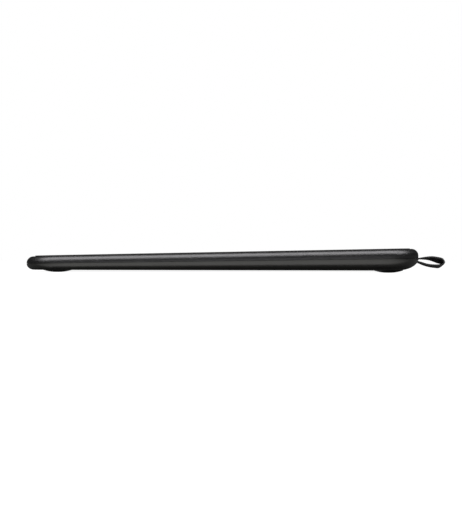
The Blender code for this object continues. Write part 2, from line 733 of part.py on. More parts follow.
def base_cover_bores():
    """Screw shank holes, the lower part of the loop's slot, the rod's grooves and the finger notch."""
    bores = bmesh.new()
    for x, y, _ in foot_places():
        profile = ((SCREW_HOLE, 0), (SCREW_HOLE, boss_split(y) + OVERRUN))
        add_turned(bores, profile, x, y, SMALL_ROUND_STEPS)
    half = loop_slot_half_height()
    add_box(bores, *loop_slot(ROD_PLACE + ROD_RADIUS, LOOP_HEIGHT - half, LOOP_HEIGHT + half + OVERRUN))
    radius = ROD_RADIUS + CRADLE_FIT
    arc = [math.pi * i / SMALL_ROUND_STEPS for i in range(SMALL_ROUND_STEPS + 1)]
    groove = [(ROD_PLACE + radius * math.cos(a), LOOP_HEIGHT - radius * math.sin(a)) for a in arc]
    groove += [(ROD_PLACE - radius, LOOP_HEIGHT + OVERRUN), (ROD_PLACE + radius, LOOP_HEIGHT + OVERRUN)]
    for left, right in cradle_spans():
        add_extruded_x(bores, groove, left - CRADLE_FIT / 2, right + CRADLE_FIT / 2)
    profile = ((HATCH_NOTCH_RADIUS, -OVERRUN), (HATCH_NOTCH_RADIUS, DESK_CLEARANCE + NOTCH_DEPTH))
    add_turned(bores, profile, 0, BAY_FRONT - BAY_LEDGE)
    return bores


def make_base_cover(housing, surface):
    cover = mesh_object("base_cover", base_cover_shell(), housing, SATIN_ABS)
    join(cover, "base_cover_bosses", base_cover_bosses(), housing)
    join(cover, "sensor_ribs", sensor_ribs(), housing)
    cut(cover, "base_cover_recesses", base_cover_recesses(), housing)
    cut(cover, "base_cover_holes", base_cover_holes(), housing)
    cut(cover, "base_cover_bores", base_cover_bores(), housing)
    cut(cover, "base_cover_usb_hole", usb_hole(), surface)


def make_surface_plate(surface):
    """One moulded plate, cut away at its rear corners for the keys, with a slot for the light guide."""
    inner = min(abs(edge) for _, left, right, _ in key_spans() for edge in (left, right)) - KEY_GAP
    side, front, rear = KEY_OUTER_SIDE, PLATE_INSET - HALF_DEPTH, KEY_REAR
    step = KEY_FRONT - KEY_GAP
    big = CORNER_RADIUS - PLATE_INSET
    outline = filleted(
        [
            (-side, front, big),
            (side, front, big),
            (side, step, KEY_CORNER),
            (inner, step, KEY_CORNER),
            (inner, rear, KEY_CORNER),
            (-inner, rear, KEY_CORNER),
            (-inner, step, KEY_CORNER),
            (-side, step, KEY_CORNER),
        ],
        CORNER_STEPS // 2,
    )
    slab = add_slab(bmesh.new(), outline, -PLATE_THICKNESS, 0)
    plate = mesh_object("surface_plate", slab, surface, SURFACE_FILM)
    half_x, half_y = LIGHT_WIDTH / 2 + GLUE, LIGHT_DEPTH / 2 + GLUE
    low = (-half_x, STEM_Y - half_y, -PLATE_THICKNESS - OVERRUN)
    cut(plate, "light_slot", add_box(bmesh.new(), low, (half_x, STEM_Y + half_y, OVERRUN)), surface)


def make_key(name, left, right, stem, surface):
    """A cap with a stem that meets the switch, and two legs that hook under the top cover."""
    frame = empty(f"{name}_frame", surface, (stem, STEM_Y, 0))
    cap = [(x - stem, y - STEM_Y) for x, y in key_outline(left, right)]
    key = mesh_object(name, add_slab(bmesh.new(), cap, -KEY_CAP, 0), frame, SURFACE_FILM)
    root = -KEY_CAP / 2
    half_x, half_y = KEY_STEM_WIDTH / 2, KEY_STEM_DEPTH / 2
    hook_top = -WEB_DROP - FIT
    hook_low = hook_top - KEY_HOOK_HEIGHT
    legs = add_box(bmesh.new(), (-half_x, -half_y, -KEY_STEM_DROP), (half_x, half_y, root))
    hooks = bmesh.new()
    inner, outer = KEY_LEG_OFFSET - KEY_LEG / 2, KEY_LEG_OFFSET + KEY_LEG / 2
    for side in (-1, 1):
        near, far = sorted((side * inner, side * outer))
        add_box(legs, (near, -half_y, hook_low), (far, half_y, root))
        near, far = sorted((side * KEY_LEG_OFFSET, side * (outer + KEY_HOOK)))
        add_box(hooks, (near, -half_y / 2, hook_low + GLUE), (far, half_y / 2, hook_top))
    join(key, f"{name}_legs", legs, frame)
    join(key, f"{name}_hooks", hooks, frame)


def make_light_guide(surface):
    """A clear bar from the LED up to the drawing surface, with a wider foot under the top cover."""
    half_x, half_y = LIGHT_WIDTH / 2, LIGHT_DEPTH / 2
    bottom = LED_GAP + LED_HEIGHT + GLUE - BOARD_DROP
    bar = add_box(bmesh.new(), (-half_x, STEM_Y - half_y, bottom), (half_x, STEM_Y + half_y, 0))
    guide = mesh_object("status_light_guide", bar, surface, CLEAR_PLASTIC)
    half_x, half_y = half_x + LIGHT_FOOT, half_y + LIGHT_FOOT
    top = -WEB_DROP - GLUE
    low, high = (-half_x, STEM_Y - half_y, top - LIGHT_FOOT), (half_x, STEM_Y + half_y, top)
    join(guide, "light_guide_foot", add_box(bmesh.new(), low, high), surface)


def make_main_board(surface):
    tab_end = TAB_SET_IN - HALF_WIDTH
    tab_front = BOARD_FRONT + BOARD_TAB_OVERLAP - BOARD_TAB_DEPTH
    outline = [
        (tab_end, tab_front),
        (tab_end + BOARD_TAB_WIDTH, tab_front),
        (tab_end + BOARD_TAB_WIDTH, BOARD_FRONT),
        (BOARD_HALF_LENGTH, BOARD_FRONT),
        (BOARD_HALF_LENGTH, BOARD_REAR),
        (-BOARD_HALF_LENGTH, BOARD_REAR),
        (-BOARD_HALF_LENGTH, BOARD_FRONT + BOARD_TAB_OVERLAP),
        (tab_end, BOARD_FRONT + BOARD_TAB_OVERLAP),
    ]
    slab = add_slab(bmesh.new(), outline, -BOARD_UNDER_DROP, -BOARD_DROP)
    board = mesh_object("main_board", slab, surface, BOARD_RESIN)
    holes = bmesh.new()
    profile = ((SCREW_HOLE, -BOARD_UNDER_DROP - OVERRUN), (SCREW_HOLE, OVERRUN - BOARD_DROP))
    for x, y in board_screw_places():
        add_turned(holes, profile, x, y, SMALL_ROUND_STEPS)
    cut(board, "board_holes", holes, surface)


def stepped_block(half, height, inset, rise):
    """A square block with a smaller square raised on top."""
    base = [(-half, -half), (half, -half), (half, half), (-half, half)]
    small = [(x * (1 - inset / half), y * (1 - inset / half)) for x, y in base]
    levels = ((base, 0), (base, height), (small, height), (small, height + rise))
    return add_loft(bmesh.new(), [[Vector((x, y, z)) for x, y in outline] for outline, z in levels])


def make_key_switch(number, stem, surface):
    frame = empty(f"key_switch_{number}_frame", surface, (stem, STEM_Y, GLUE - BOARD_DROP))
    block = stepped_block(SWITCH_SIZE / 2, SWITCH_HEIGHT, SWITCH_BUTTON_INSET, SWITCH_BUTTON_RISE)
    mesh_object(f"key_switch_{number}", block, frame, STEEL)


def make_board_parts(surface):
    """The status light's LED on the board, and the two chips under it."""
    half = LED_SIZE / 2
    low = GLUE - BOARD_DROP
    led = add_box(bmesh.new(), (-half, STEM_Y - half, low), (half, STEM_Y + half, low + LED_HEIGHT))
    mesh_object("status_led", led, surface, CLEAR_PLASTIC)
    high = -BOARD_UNDER_DROP - GLUE
    middle = (BOARD_FRONT + BOARD_REAR) / 2
    chips = (("controller_chip", CHIP_PLACE, CHIP_SIZE), ("sensor_chip", -CHIP_PLACE, SMALL_CHIP_SIZE))
    for name, x, size in chips:
        half = size / 2
        low_corner = (x - half, middle - half, high - CHIP_HEIGHT)
        chip = add_box(bmesh.new(), low_corner, (x + half, middle + half, high))
        mesh_object(name, chip, surface, CHIP_EPOXY)


def make_usb_socket(surface):
    """A micro-B receptacle: a steel shell round its tongue, open towards the left."""
    y, mouth = usb_place()
    half = USB_WIDTH / 2
    low, high = GLUE - BOARD_DROP, GLUE - BOARD_DROP + USB_HEIGHT
    end = mouth + USB_LENGTH
    shell = add_box(bmesh.new(), (mouth, y - half, low), (end, y + half, high))
    socket = mesh_object("usb_socket", shell, surface, STEEL)
    inner = half - USB_WALL
    hollow_low = (mouth - OVERRUN, y - inner, low + USB_WALL)
    hollow_high = (end - USB_WALL, y + inner, high - USB_WALL)
    cut(socket, "usb_hollow", add_box(bmesh.new(), hollow_low, hollow_high), surface)
    half_y, half_z = USB_TONGUE_WIDTH / 2, USB_TONGUE_THICKNESS / 2
    middle = (low + high) / 2
    tongue_low = (mouth + USB_TONGUE_SHORT, y - half_y, middle - half_z)
    tongue_high = (end - USB_WALL / 2, y + half_y, middle + half_z)
    join(socket, "usb_tongue", add_box(bmesh.new(), tongue_low, tongue_high), surface)


def make_sensor(surface):
    half = SENSOR_HALF_WIDTH
    low, high = (-half, SENSOR_NEAR, -SENSOR_DROP - SENSOR_THICKNESS), (half, SENSOR_REAR, -SENSOR_DROP)
    mesh_object("sensor_board", add_box(bmesh.new(), low, high), surface, BOARD_RESIN)
    low = (-half, SENSOR_NEAR, -SHIELD_DROP - SHIELD_THICKNESS)
    high = (half, SENSOR_REAR - SHIELD_SHORT, -SHIELD_DROP)
    mesh_object("shield_sheet", add_box(bmesh.new(), low, high), surface, STEEL)


def make_sensor_cable(surface):
    """Flat flex from under the sensor's rear edge, down and back into the connector on the main board."""
    left = BAY_SPAN / 2 + BAY_LEDGE + BAY_WALL + CABLE_FROM_BAY
    right = left + CABLE_WIDTH
    upper = -SENSOR_DROP - SENSOR_THICKNESS - GLUE
    lower = CABLE_ENTRY + CABLE_THICKNESS / 2 - BOARD_DROP
    slot_end = BOARD_FRONT + SOCKET_DEPTH - SOCKET_BACK
    bend = SENSOR_REAR + SENSOR_FROM_BAY
    line = [(SENSOR_REAR - CABLE_LAP, upper), (bend, upper)]
    line += [(BOARD_FRONT - FIT, lower), (slot_end - GLUE, lower)]
    section = line + [(y, z - CABLE_THICKNESS) for y, z in reversed(line)]
    cable = add_extruded_x(bmesh.new(), section, left, right)
    mesh_object("sensor_cable", cable, surface, FLEX_FILM)

    low = GLUE - BOARD_DROP
    high = low + SOCKET_HEIGHT
    slot_low = lower - CABLE_THICKNESS / 2 - SOCKET_SLOT / 2
    slot_high = slot_low + SOCKET_SLOT
    back = BOARD_FRONT + SOCKET_DEPTH
    profile = [
        (BOARD_FRONT, low),
        (back, low),
        (back, high),
        (BOARD_FRONT, high),
        (BOARD_FRONT, slot_high),
        (slot_end, slot_high),
        (slot_end, slot_low),
        (BOARD_FRONT, slot_low),
    ]
    socket = add_extruded_x(bmesh.new(), profile, left - SOCKET_SIDE, right + SOCKET_SIDE)
    mesh_object("sensor_connector", socket, surface, NIB_PLASTIC)


def screw_profile(tip, seat):
    """Bottom to top: a flat head below its seat, and a shank that ends at the tip."""
    chamfer = SCREW_HEAD_HEIGHT / 4
    return (
        (SCREW_HEAD - chamfer, seat - SCREW_HEAD_HEIGHT),
        (SCREW_HEAD, seat - SCREW_HEAD_HEIGHT + chamfer),
        (SCREW_HEAD, seat),
        (SCREW_SHANK, seat),
        (SCREW_SHANK, tip - SCREW_SHANK / 2),
        (SCREW_SHANK / 2, tip),
    )


def make_screws(housing, surface):
    for x, y, name in foot_places():
        frame = empty(f"case_screw_{name}_frame", housing, (x, y, 0))
        profile = screw_profile(ceiling_height(y) + SCREW_BITE, HEAD_FLOOR - SCREW_FIT)
        screw = add_turned(bmesh.new(), profile, steps=SMALL_ROUND_STEPS)
        mesh_object(f"case_screw_{name}", screw, frame, STEEL)
    for (x, y), name in zip(board_screw_places(), ("left", "middle", "right")):
        frame = empty(f"board_screw_{name}_frame", surface, (x, y, 0))
        profile = screw_profile(-WEB_DROP - SCREW_FIT, -BOARD_UNDER_DROP - SCREW_FIT)
        screw = add_turned(bmesh.new(), profile, steps=SMALL_ROUND_STEPS)
        mesh_object(f"board_screw_{name}", screw, frame, STEEL)


def make_feet(housing):
    """Rubber domes, flat where they meet the desk, each set in a shallow pocket over a case screw."""
    sag = DESK_CLEARANCE
    radius = (FOOT_RADIUS**2 + sag**2) / (2 * sag)
    flat_sag = radius - math.sqrt(radius**2 - FOOT_FLAT**2)
    profile = []
    for step in range(EDGE_STEPS + 1):
        across = mix(FOOT_FLAT, FOOT_RADIUS, step / EDGE_STEPS)
        drop = radius - math.sqrt(radius**2 - across**2)
        profile.append((across, (drop - flat_sag) * sag / (sag - flat_sag)))
    profile.append((FOOT_RADIUS, DESK_CLEARANCE + FOOT_POCKET))
    for x, y, name in foot_places():
        frame = empty(f"foot_{name}_frame", housing, (x, y, 0))
        mesh_object(f"foot_{name}", add_turned(bmesh.new(), profile), frame, RUBBER)


def make_hatch(housing):
    """Flush cover over the bays, with four pegs in the base cover's ledge and a notch at its front."""
    low, high = DESK_CLEARANCE, DESK_CLEARANCE + HATCH_THICKNESS
    slab = add_slab(bmesh.new(), bay_outline(BAY_LEDGE - FIT, HATCH_CORNER - FIT), low, high)
    hatch = mesh_object("hatch_cover", slab, housing, SATIN_ABS)
    pegs = bmesh.new()
    half_x, half_y = HATCH_PEG_WIDTH / 2, HATCH_PEG_DEPTH / 2
    for x, y in hatch_peg_places():
        peg_low = (x - half_x, y - half_y, high - HATCH_THICKNESS / 2)
        add_box(pegs, peg_low, (x + half_x, y + half_y, high + HATCH_PEG_RISE))
    join(hatch, "hatch_pegs", pegs, housing)
    radius = HATCH_NOTCH_RADIUS / 2
    profile = ((radius, -OVERRUN), (radius, low + NOTCH_DEPTH))
    cut(hatch, "hatch_notch", add_turned(bmesh.new(), profile, 0, BAY_FRONT - BAY_LEDGE), housing)


def make_bay_contacts(housing):
    """Contact blocks for the battery and the wireless module, each against an end wall of its bay."""
    middle, half = (BAY_FRONT + BAY_REAR) / 2, CONTACT_DEPTH / 2
    high = BAY_ROOF - FIT
    for name, bay in (("battery_contacts", BATTERY_BAY), ("module_connector", MODULE_BAY)):
        left = bay[0] + FIT
        low_corner = (left, middle - half, high - CONTACT_HEIGHT)
        block = add_box(bmesh.new(), low_corner, (left + CONTACT_LENGTH, middle + half, high))
        mesh_object(name, block, housing, NIB_PLASTIC)


def rack_bottom():
    return BAY_ROOF - FIT - RACK_HEIGHT


def nib_places():
    middle = (BAY_FRONT + BAY_REAR) / 2
    x = (NIB_BAY[0] + NIB_BAY[1]) / 2 + NIB_PLACE
    return [(x, middle + i * NIB_SPACING) for i in (-1, 0, 1)]


def ring_place():
    return (NIB_BAY[0] + NIB_BAY[1]) / 2 - RING_PLACE, (BAY_FRONT + BAY_REAR) / 2


def make_nib_rack(housing):
    """A moulded block in the nib bay, with a trough for each spare nib and a groove for the ring."""
    low = rack_bottom()
    left, right = NIB_BAY[0] + RACK_FIT, NIB_BAY[1] - RACK_FIT
    outline = rectangle(left, right, BAY_FRONT + RACK_FIT, BAY_REAR - RACK_FIT, SMALLEST_CORNER)
    slab = add_slab(bmesh.new(), outline, low, low + RACK_HEIGHT)
    rack = mesh_object("nib_rack", slab, housing, INNER_PLASTIC)

    x, y = ring_place()
    outer, inner = RING_RADIUS + RING_WIRE + FIT, RING_RADIUS - RING_WIRE - FIT
    groove_top = low + 2 * RING_WIRE + FIT
    recess = add_turned(bmesh.new(), ((outer, low - OVERRUN), (outer, groove_top)), x, y)
    cut(rack, "ring_recess", recess, housing)
    core = add_turned(bmesh.new(), ((inner, low), (inner, groove_top + FIT)), x, y)
    join(rack, "ring_core", core, housing)

    troughs = bmesh.new()
    half_x, half_y = NIB_LENGTH / 2 + FIT, NIB_RADIUS + FIT
    trough_top = low + 2 * NIB_RADIUS + FIT
    for x, y in nib_places():
        add_box(troughs, (x - half_x, y - half_y, low - OVERRUN), (x + half_x, y + half_y, trough_top))
    cut(rack, "nib_troughs", troughs, housing)


def make_spare_nibs(housing):
    half = NIB_LENGTH / 2
    profile = ((NIB_RADIUS, -half), (NIB_RADIUS, half - NIB_TIP_LENGTH), (NIB_TIP_RADIUS, half))
    for number, (x, y) in enumerate(nib_places(), 1):
        place = (x, y, rack_bottom() + NIB_RADIUS)
        frame = empty(f"spare_nib_{number}_frame", housing, place, (0, math.pi / 2, 0))
        nib = add_turned(bmesh.new(), profile, steps=SMALL_ROUND_STEPS)
        mesh_object(f"spare_nib_{number}", nib, frame, NIB_PLASTIC)


def make_nib_ring(housing):
    """An open ring of wire that grips and pulls a worn nib."""
    frame = empty("nib_ring_frame", housing, (*ring_place(), rack_bottom() + RING_WIRE))
    rings = []
    for step in range(ROUND_STEPS + 1):
        angle = mix(RING_OPENING, math.tau - RING_OPENING, step / ROUND_STEPS)
        out = Vector((math.cos(angle), math.sin(angle), 0))
        wire = circle(RING_WIRE, 0, 0, 0, SMALL_ROUND_STEPS // 2)
        rings.append([out * (RING_RADIUS + point.x) + Vector((0, 0, point.y)) for point in wire])
    mesh_object("nib_ring", add_loft(bmesh.new(), rings), frame, STEEL)


def loop_line():
    """Middle line of the ribbon in the Y-Z plane: out of the slot, round the eye, back, round the rod."""
    rear = HALF_DEPTH
    half = LOOP_THICKNESS / 2
    pair = LOOP_PAIR_GAP / 2 + half
    reach = LOOP_REACH - half
    rise, drop = LOOP_RISE - half, LOOP_DROP - half
    line = [(rear - 2 * WALL, LOOP_HEIGHT + pair), (rear + WALL / 2, LOOP_HEIGHT + pair)]
    line += [(rear + reach * a, LOOP_HEIGHT + mix(pair, rise, b)) for a, b in EYE_TOP_SHARES]
    line += [(rear + reach, LOOP_HEIGHT - LOOP_TIP_DROP)]
    line += [(rear + reach * a, LOOP_HEIGHT - mix(pair, drop, b)) for a, b in EYE_BOTTOM_SHARES]
    line += [(rear + WALL / 2, LOOP_HEIGHT - pair), (rear - 2 * WALL, LOOP_HEIGHT - pair)]
    turn = ROD_RADIUS + GLUE + half
    for step in range(ROD_TURN_STEPS):
        angle = -math.pi / 2 - math.pi * step / (ROD_TURN_STEPS - 1)
        line.append((ROD_PLACE + turn * math.cos(angle), LOOP_HEIGHT + turn * math.sin(angle)))
    return [Vector(point) for point in line]


def smooth_closed(points, count):
    """Points at an even spacing on a smooth closed curve through the given ones."""
    fine = []
    for i in range(len(points)):
        a, b, c, d = (points[(i + k) % len(points)] for k in (-1, 0, 1, 2))
        for step in range(CURVE_STEPS):
            t = step / CURVE_STEPS
            cubic = (2 * a - 5 * b + 4 * c - d) * t**2 + (3 * b - a - 3 * c + d) * t**3
            fine.append((2 * b + (c - a) * t + cubic) / 2)
    lengths = [0.0]
    for p, q in zip(fine, fine[1:] + fine[:1]):
        lengths.append(lengths[-1] + (q - p).length)
    even = []
    k = 0
    for i in range(count):
        target = lengths[-1] * i / count
        while lengths[k + 1] < target:
            k += 1
        share = (target - lengths[k]) / (lengths[k + 1] - lengths[k])
        even.append(fine[k].lerp(fine[(k + 1) % len(fine)], share))
    return even


def loop_droop(point):
    """How far the ribbon's inner edge hangs below its outer one, which is most at the upper run."""
    outside = (point.x - HALF_DEPTH - 2 * WALL) / (LOOP_REACH / 2)
    upper = (point.y - LOOP_HEIGHT) / LOOP_RISE + 0.5
    twist_share = mix(LOWER_TWIST_SHARE, 1, min(max(upper, 0), 1))
    return LOOP_TWIST * twist_share * min(max(outside, 0), 1)


def make_pen_loop(housing):
    """A woven ribbon in a closed loop, held inside by the rod that it goes round."""
    line = smooth_closed(loop_line(), LOOP_STEPS)
    left, right = LOOP_PLACE - LOOP_WIDTH / 2, LOOP_PLACE + LOOP_WIDTH / 2
    rings = []
    for i, point in enumerate(line):
        along = (line[(i + 1) % LOOP_STEPS] - line[i - 1]).normalized()
        across = Vector((-along.y, along.x)) * (LOOP_THICKNESS / 2)
        upper, lower = point + across, point - across
        droop = loop_droop(point)
        corners = ((right, upper, 0), (right, lower, 0), (left, lower, droop), (left, upper, droop))
        rings.append([Vector((x, p.x, p.y - sag)) for x, p, sag in corners])
    mesh_object("pen_loop", add_loft(bmesh.new(), rings, closed=True), housing, WEBBING)


def make_loop_rod(housing):
    place = (LOOP_PLACE, ROD_PLACE, LOOP_HEIGHT)
    frame = empty("loop_rod_frame", housing, place, (0, math.pi / 2, 0))
    half = ROD_LENGTH / 2
    rod = add_turned(bmesh.new(), ((ROD_RADIUS, -half), (ROD_RADIUS, half)), steps=SMALL_ROUND_STEPS)
    mesh_object("loop_rod", rod, frame, STEEL)


def shade():
    for thing in bpy.context.scene.objects:
        if thing.type == "MESH" and not thing.hide_render:
            thing.data.shade_smooth()
            thing.data.set_sharp_from_angle(angle=SHARP_ANGLE)


def main():
    clear_scene()
    housing = empty("housing_frame", None, (0, -LOOP_REACH / 2, 0))
    surface = empty("surface_frame", housing, (0, 0, surface_height(0)), (TILT, 0, 0))
    make_top_cover(housing, surface)
    make_base_cover(housing, surface)
    make_surface_plate(surface)
    for name, left, right, stem in key_spans():
        make_key(name, left, right, stem, surface)
    for number, (_, _, _, stem) in enumerate(key_spans(), 1):
        make_key_switch(number, stem, surface)
    make_light_guide(surface)
    make_main_board(surface)
    make_board_parts(surface)
    make_usb_socket(surface)
    make_sensor(surface)
    make_sensor_cable(surface)
    make_screws(housing, surface)
    make_feet(housing)
    make_hatch(housing)
    make_bay_contacts(housing)
    make_nib_rack(housing)
    make_spare_nibs(housing)
    make_nib_ring(housing)
    make_pen_loop(housing)
    make_loop_rod(housing)
    shade()


main()
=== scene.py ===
"""The looks of a small graphics tablet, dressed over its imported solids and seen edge-on from its right side.

Metres, +Z up. The front edge faces -Y, and the pen loop leaves the rear wall towards +Y.
"""

from functools import partial
from math import atan, copysign, cos, pi, radians, sin, sqrt, tau
from types import SimpleNamespace

import bmesh
import bpy
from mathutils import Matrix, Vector


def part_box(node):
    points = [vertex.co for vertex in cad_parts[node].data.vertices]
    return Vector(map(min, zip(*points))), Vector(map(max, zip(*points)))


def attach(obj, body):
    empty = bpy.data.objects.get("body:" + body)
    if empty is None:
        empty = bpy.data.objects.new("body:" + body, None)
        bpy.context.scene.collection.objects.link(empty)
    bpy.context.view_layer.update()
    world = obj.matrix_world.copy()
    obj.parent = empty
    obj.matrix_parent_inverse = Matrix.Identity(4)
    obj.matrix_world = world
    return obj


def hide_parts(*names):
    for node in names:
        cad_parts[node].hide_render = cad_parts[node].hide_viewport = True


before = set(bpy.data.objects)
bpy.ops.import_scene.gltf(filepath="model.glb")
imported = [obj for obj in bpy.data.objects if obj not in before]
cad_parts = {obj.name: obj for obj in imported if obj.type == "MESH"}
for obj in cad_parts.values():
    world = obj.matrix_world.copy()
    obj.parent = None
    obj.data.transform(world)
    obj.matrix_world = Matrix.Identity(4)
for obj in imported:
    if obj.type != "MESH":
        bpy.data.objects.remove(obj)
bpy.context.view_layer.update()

# Base cover
# The lower half of the case, a shallow tray of black ABS from a mould that was only lightly blasted, so it
# is satin and nearly smooth. It holds the accessory bays, and four screws under the feet close the case.

MM = 0.001
OVERRUN = 1 * MM  # how far a cutter passes the face that it cuts
SLANT = 0.01  # an edge that leans less than this, of its length, lies along its axis
FACING = 0.9  # how far along an axis the normal of a face that looks that way reaches

case_low, case_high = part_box("top_cover")
CASE_MIDDLE = (case_low.y + case_high.y) / 2
HALF_WIDTH = case_high.x
HALF_DEPTH = (case_high.y - case_low.y) / 2
CORNER_RADIUS = 14 * MM
FRONT_HEIGHT = 7.4 * MM
REAR_HEIGHT = 11.3 * MM
DESK_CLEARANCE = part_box("base_cover")[0].z
PLATE_PROUD = 0.3 * MM
EDGE_REACH = 3.05 * MM
EDGE_RISE = 3.15 * MM
LAND = (0.05 * MM, 1.3 * MM)  # upright band of the top cover, at the front edge and at the rear edge
BELLY = (3.4 * MM, 10.0 * MM)  # how far the lower curve runs in, at the front edge and at the rear edge
PARTING_GAP = 0.2 * MM
FIT = 0.25 * MM  # clearance all round a piece in its opening
SEAM_DEPTH = 0.3 * MM  # of the shadow line between the covers, where they all but touch
SEAM_FIT = 0.03 * MM
WALL = 1.5 * MM
FLOOR_TOP = DESK_CLEARANCE + 1.4 * MM
TONGUE_INSET = WALL + 0.25 * MM
TONGUE_WALL = 0.8 * MM
TONGUE_ABOVE_LAND = 0.3 * MM
EDGE_BREAK = 0.12 * MM  # the small radius that a mould leaves on an edge
SEAM_BREAK = EDGE_BREAK / 3
CORNER_STEPS = 22
BELLY_STEPS = 14
BREAK_STEPS = 3


def mix(start, end, share):
    return start + (end - start) * share


def share_back(y):
    """0 at the case's front edge and 1 at its rear edge."""
    return (y - case_low.y) / (case_high.y - case_low.y)


def surface_height(y):
    return mix(FRONT_HEIGHT, REAR_HEIGHT, share_back(y))


def rim_height(y):
    return surface_height(y) - PLATE_PROUD


def land_top(y):
    return rim_height(y) - EDGE_RISE


def base_edge(y):
    """Height of the base cover's upper edge, at the parting line."""
    return land_top(y) - mix(*LAND, share_back(y)) - PARTING_GAP / 2


def top_edge(y):
    """Height of the top cover's lower edge, at the parting line."""
    return base_edge(y) + PARTING_GAP


def belly(y):
    return mix(*BELLY, share_back(y))


def only(piece):
    """Makes piece the one selected object."""
    bpy.ops.object.select_all(action="DESELECT")
    piece.select_set(True)
    bpy.context.view_layer.objects.active = piece


def settle(piece, place, turn=(0, 0, 0)):
    """Puts a piece at its place, turned, and takes both into its mesh."""
    only(piece)
    piece.location, piece.rotation_euler = place, turn
    bpy.ops.object.transform_apply()
    return piece


def start_piece(name, kind, scale=(1, 1, 1), **settings):
    """A primitive of a kind that Blender knows, with its place and scale in its mesh."""
    getattr(bpy.ops.mesh, f"primitive_{kind}_add")(**settings)
    bpy.context.object.scale = scale
    bpy.ops.object.transform_apply()
    piece = bpy.context.object
    piece.name = piece.data.name = name
    return piece


def open_up(piece):
    """Takes piece into edit mode, all of it selected."""
    only(piece)
    bpy.ops.object.mode_set(mode="EDIT")
    bpy.ops.mesh.select_all(action="SELECT")


def leave_edit():
    bpy.ops.object.mode_set(mode="OBJECT")


def place_selected(piece, place):
    """Moves each selected point of a piece in edit mode to where place puts it."""
    sheet = bmesh.from_edit_mesh(piece.data)
    for vert in [v for v in sheet.verts if v.select]:
        vert.co = place(vert.co)
    bmesh.update_edit_mesh(piece.data)


def ring_stack(name, rings):
    """A rounded sheet, extruded once for each further ring, the last of which stays closed. A ring gives
    its inset from the case's side and its height for each y."""
    scale = (2 * HALF_WIDTH, 2 * HALF_DEPTH, 1)
    piece = start_piece(name, "plane", scale, size=1, location=(0, CASE_MIDDLE, 0))
    open_up(piece)
    bpy.ops.mesh.bevel(offset=CORNER_RADIUS, segments=CORNER_STEPS, affect="VERTICES")
    bpy.ops.mesh.select_all(action="SELECT")

    def on_ring(point):
        corner = Vector((copysign(HALF_WIDTH - CORNER_RADIUS, point.x), CASE_MIDDLE))
        corner.y += copysign(HALF_DEPTH - CORNER_RADIUS, point.y - CASE_MIDDLE)
        out = (point.xy - corner).normalized()
        inset, height = ring(corner.y + CORNER_RADIUS * out.y)
        return (corner + out * (CORNER_RADIUS - inset)).to_3d() + Vector((0, 0, height))

    for number, ring in enumerate(rings):
        if number:
            bpy.ops.mesh.extrude_region_move()
        place_selected(piece, on_ring)
    leave_edit()
    return piece


def box(name, low, high):
    low, high = Vector(low), Vector(high)
    return start_piece(name, "cube", high - low, size=1, location=(low + high) / 2)


def block(name, middle, half, low, high):
    """An upright block round a middle, given by half its width and depth, from one height to another."""
    (x, y), (half_x, half_y) = middle, half
    return box(name, (x - half_x, y - half_y, low), (x + half_x, y + half_y, high))


def pick(piece, kind, chosen):
    """Leaves piece in edit mode, with those of its edges or faces selected that are chosen."""
    open_up(piece)
    bpy.ops.mesh.select_mode(type=kind)
    bpy.ops.mesh.select_all(action="DESELECT")
    sheet = bmesh.from_edit_mesh(piece.data)
    for element in sheet.edges if kind == "EDGE" else sheet.faces:
        element.select_set(chosen(element))
    bmesh.update_edit_mesh(piece.data)


def round_edges(piece, axis, radius, steps, chosen=lambda place: True):
    """Rounds, or in one step chamfers, the edges along an axis, 0 to 2, at the chosen places."""

    def picked(edge):
        start, end = (vert.co for vert in edge.verts)
        across = end - start
        length = across.length
        across[axis] = 0
        return across.length < SLANT * length and chosen((start + end) / 2)

    pick(piece, "EDGE", picked)
    bpy.ops.mesh.bevel(offset=radius, segments=steps, affect="EDGES")
    leave_edit()


def slab(name, low, high, radius):
    """An upright block with rounded corners, as seen from above."""
    piece = box(name, low, high)
    round_edges(piece, 2, radius, 6)
    return piece


def cylinder(name, middle, top, radius, steps=32):
    """A round cutter that stands upright on the desk."""
    place = (middle.x, middle.y, top / 2)
    return start_piece(name, "cylinder", vertices=steps, radius=radius, depth=top, location=place)


def apply_modifier(piece, kind, **settings):
    only(piece)
    modifier = piece.modifiers.new(kind.lower(), kind)
    for setting, value in settings.items():
        setattr(modifier, setting, value)
    bpy.ops.object.modifier_apply(modifier=modifier.name)


def combine(piece, tools, operation="DIFFERENCE"):
    for tool in tools:
        apply_modifier(piece, "BOOLEAN", object=tool, operation=operation, solver="EXACT")
        bpy.data.objects.remove(tool)


def smooth(piece, angle=35):
    only(piece)
    bpy.ops.object.shade_smooth_by_angle(angle=radians(angle))
    apply_modifier(piece, "WEIGHTED_NORMAL", keep_sharp=True)


def break_edges(piece, width=EDGE_BREAK, steps=2, angle=40):
    """Rounds a moulded piece's edges, then evens its shading so that its flat faces look flat."""
    limits = {"limit_method": "ANGLE", "angle_limit": radians(angle)}
    apply_modifier(piece, "BEVEL", width=width, segments=steps, **limits)
    smooth(piece)


def linear(hex_colour):
    """An sRGB hex colour as the linear values that a shader takes."""
    channels = [int(hex_colour[i : i + 2], 16) / 255 for i in (1, 3, 5)]
    return [c / 12.92 if c <= 0.04045 else ((c + 0.055) / 1.055) ** 2.4 for c in channels] + [1.0]


def fill(node, inputs):
    """Sets a node's inputs, by name or in their own order, each to a value, a hex colour, an output or the
    first output of a node."""
    for key, value in inputs.items() if isinstance(inputs, dict) else enumerate(inputs):
        if isinstance(value, bpy.types.Node):
            value = next(socket for socket in value.outputs if socket.enabled)
        if isinstance(value, bpy.types.NodeSocket):
            node.id_data.links.new(value, node.inputs[key])
        else:
            node.inputs[key].default_value = linear(value) if isinstance(value, str) else value


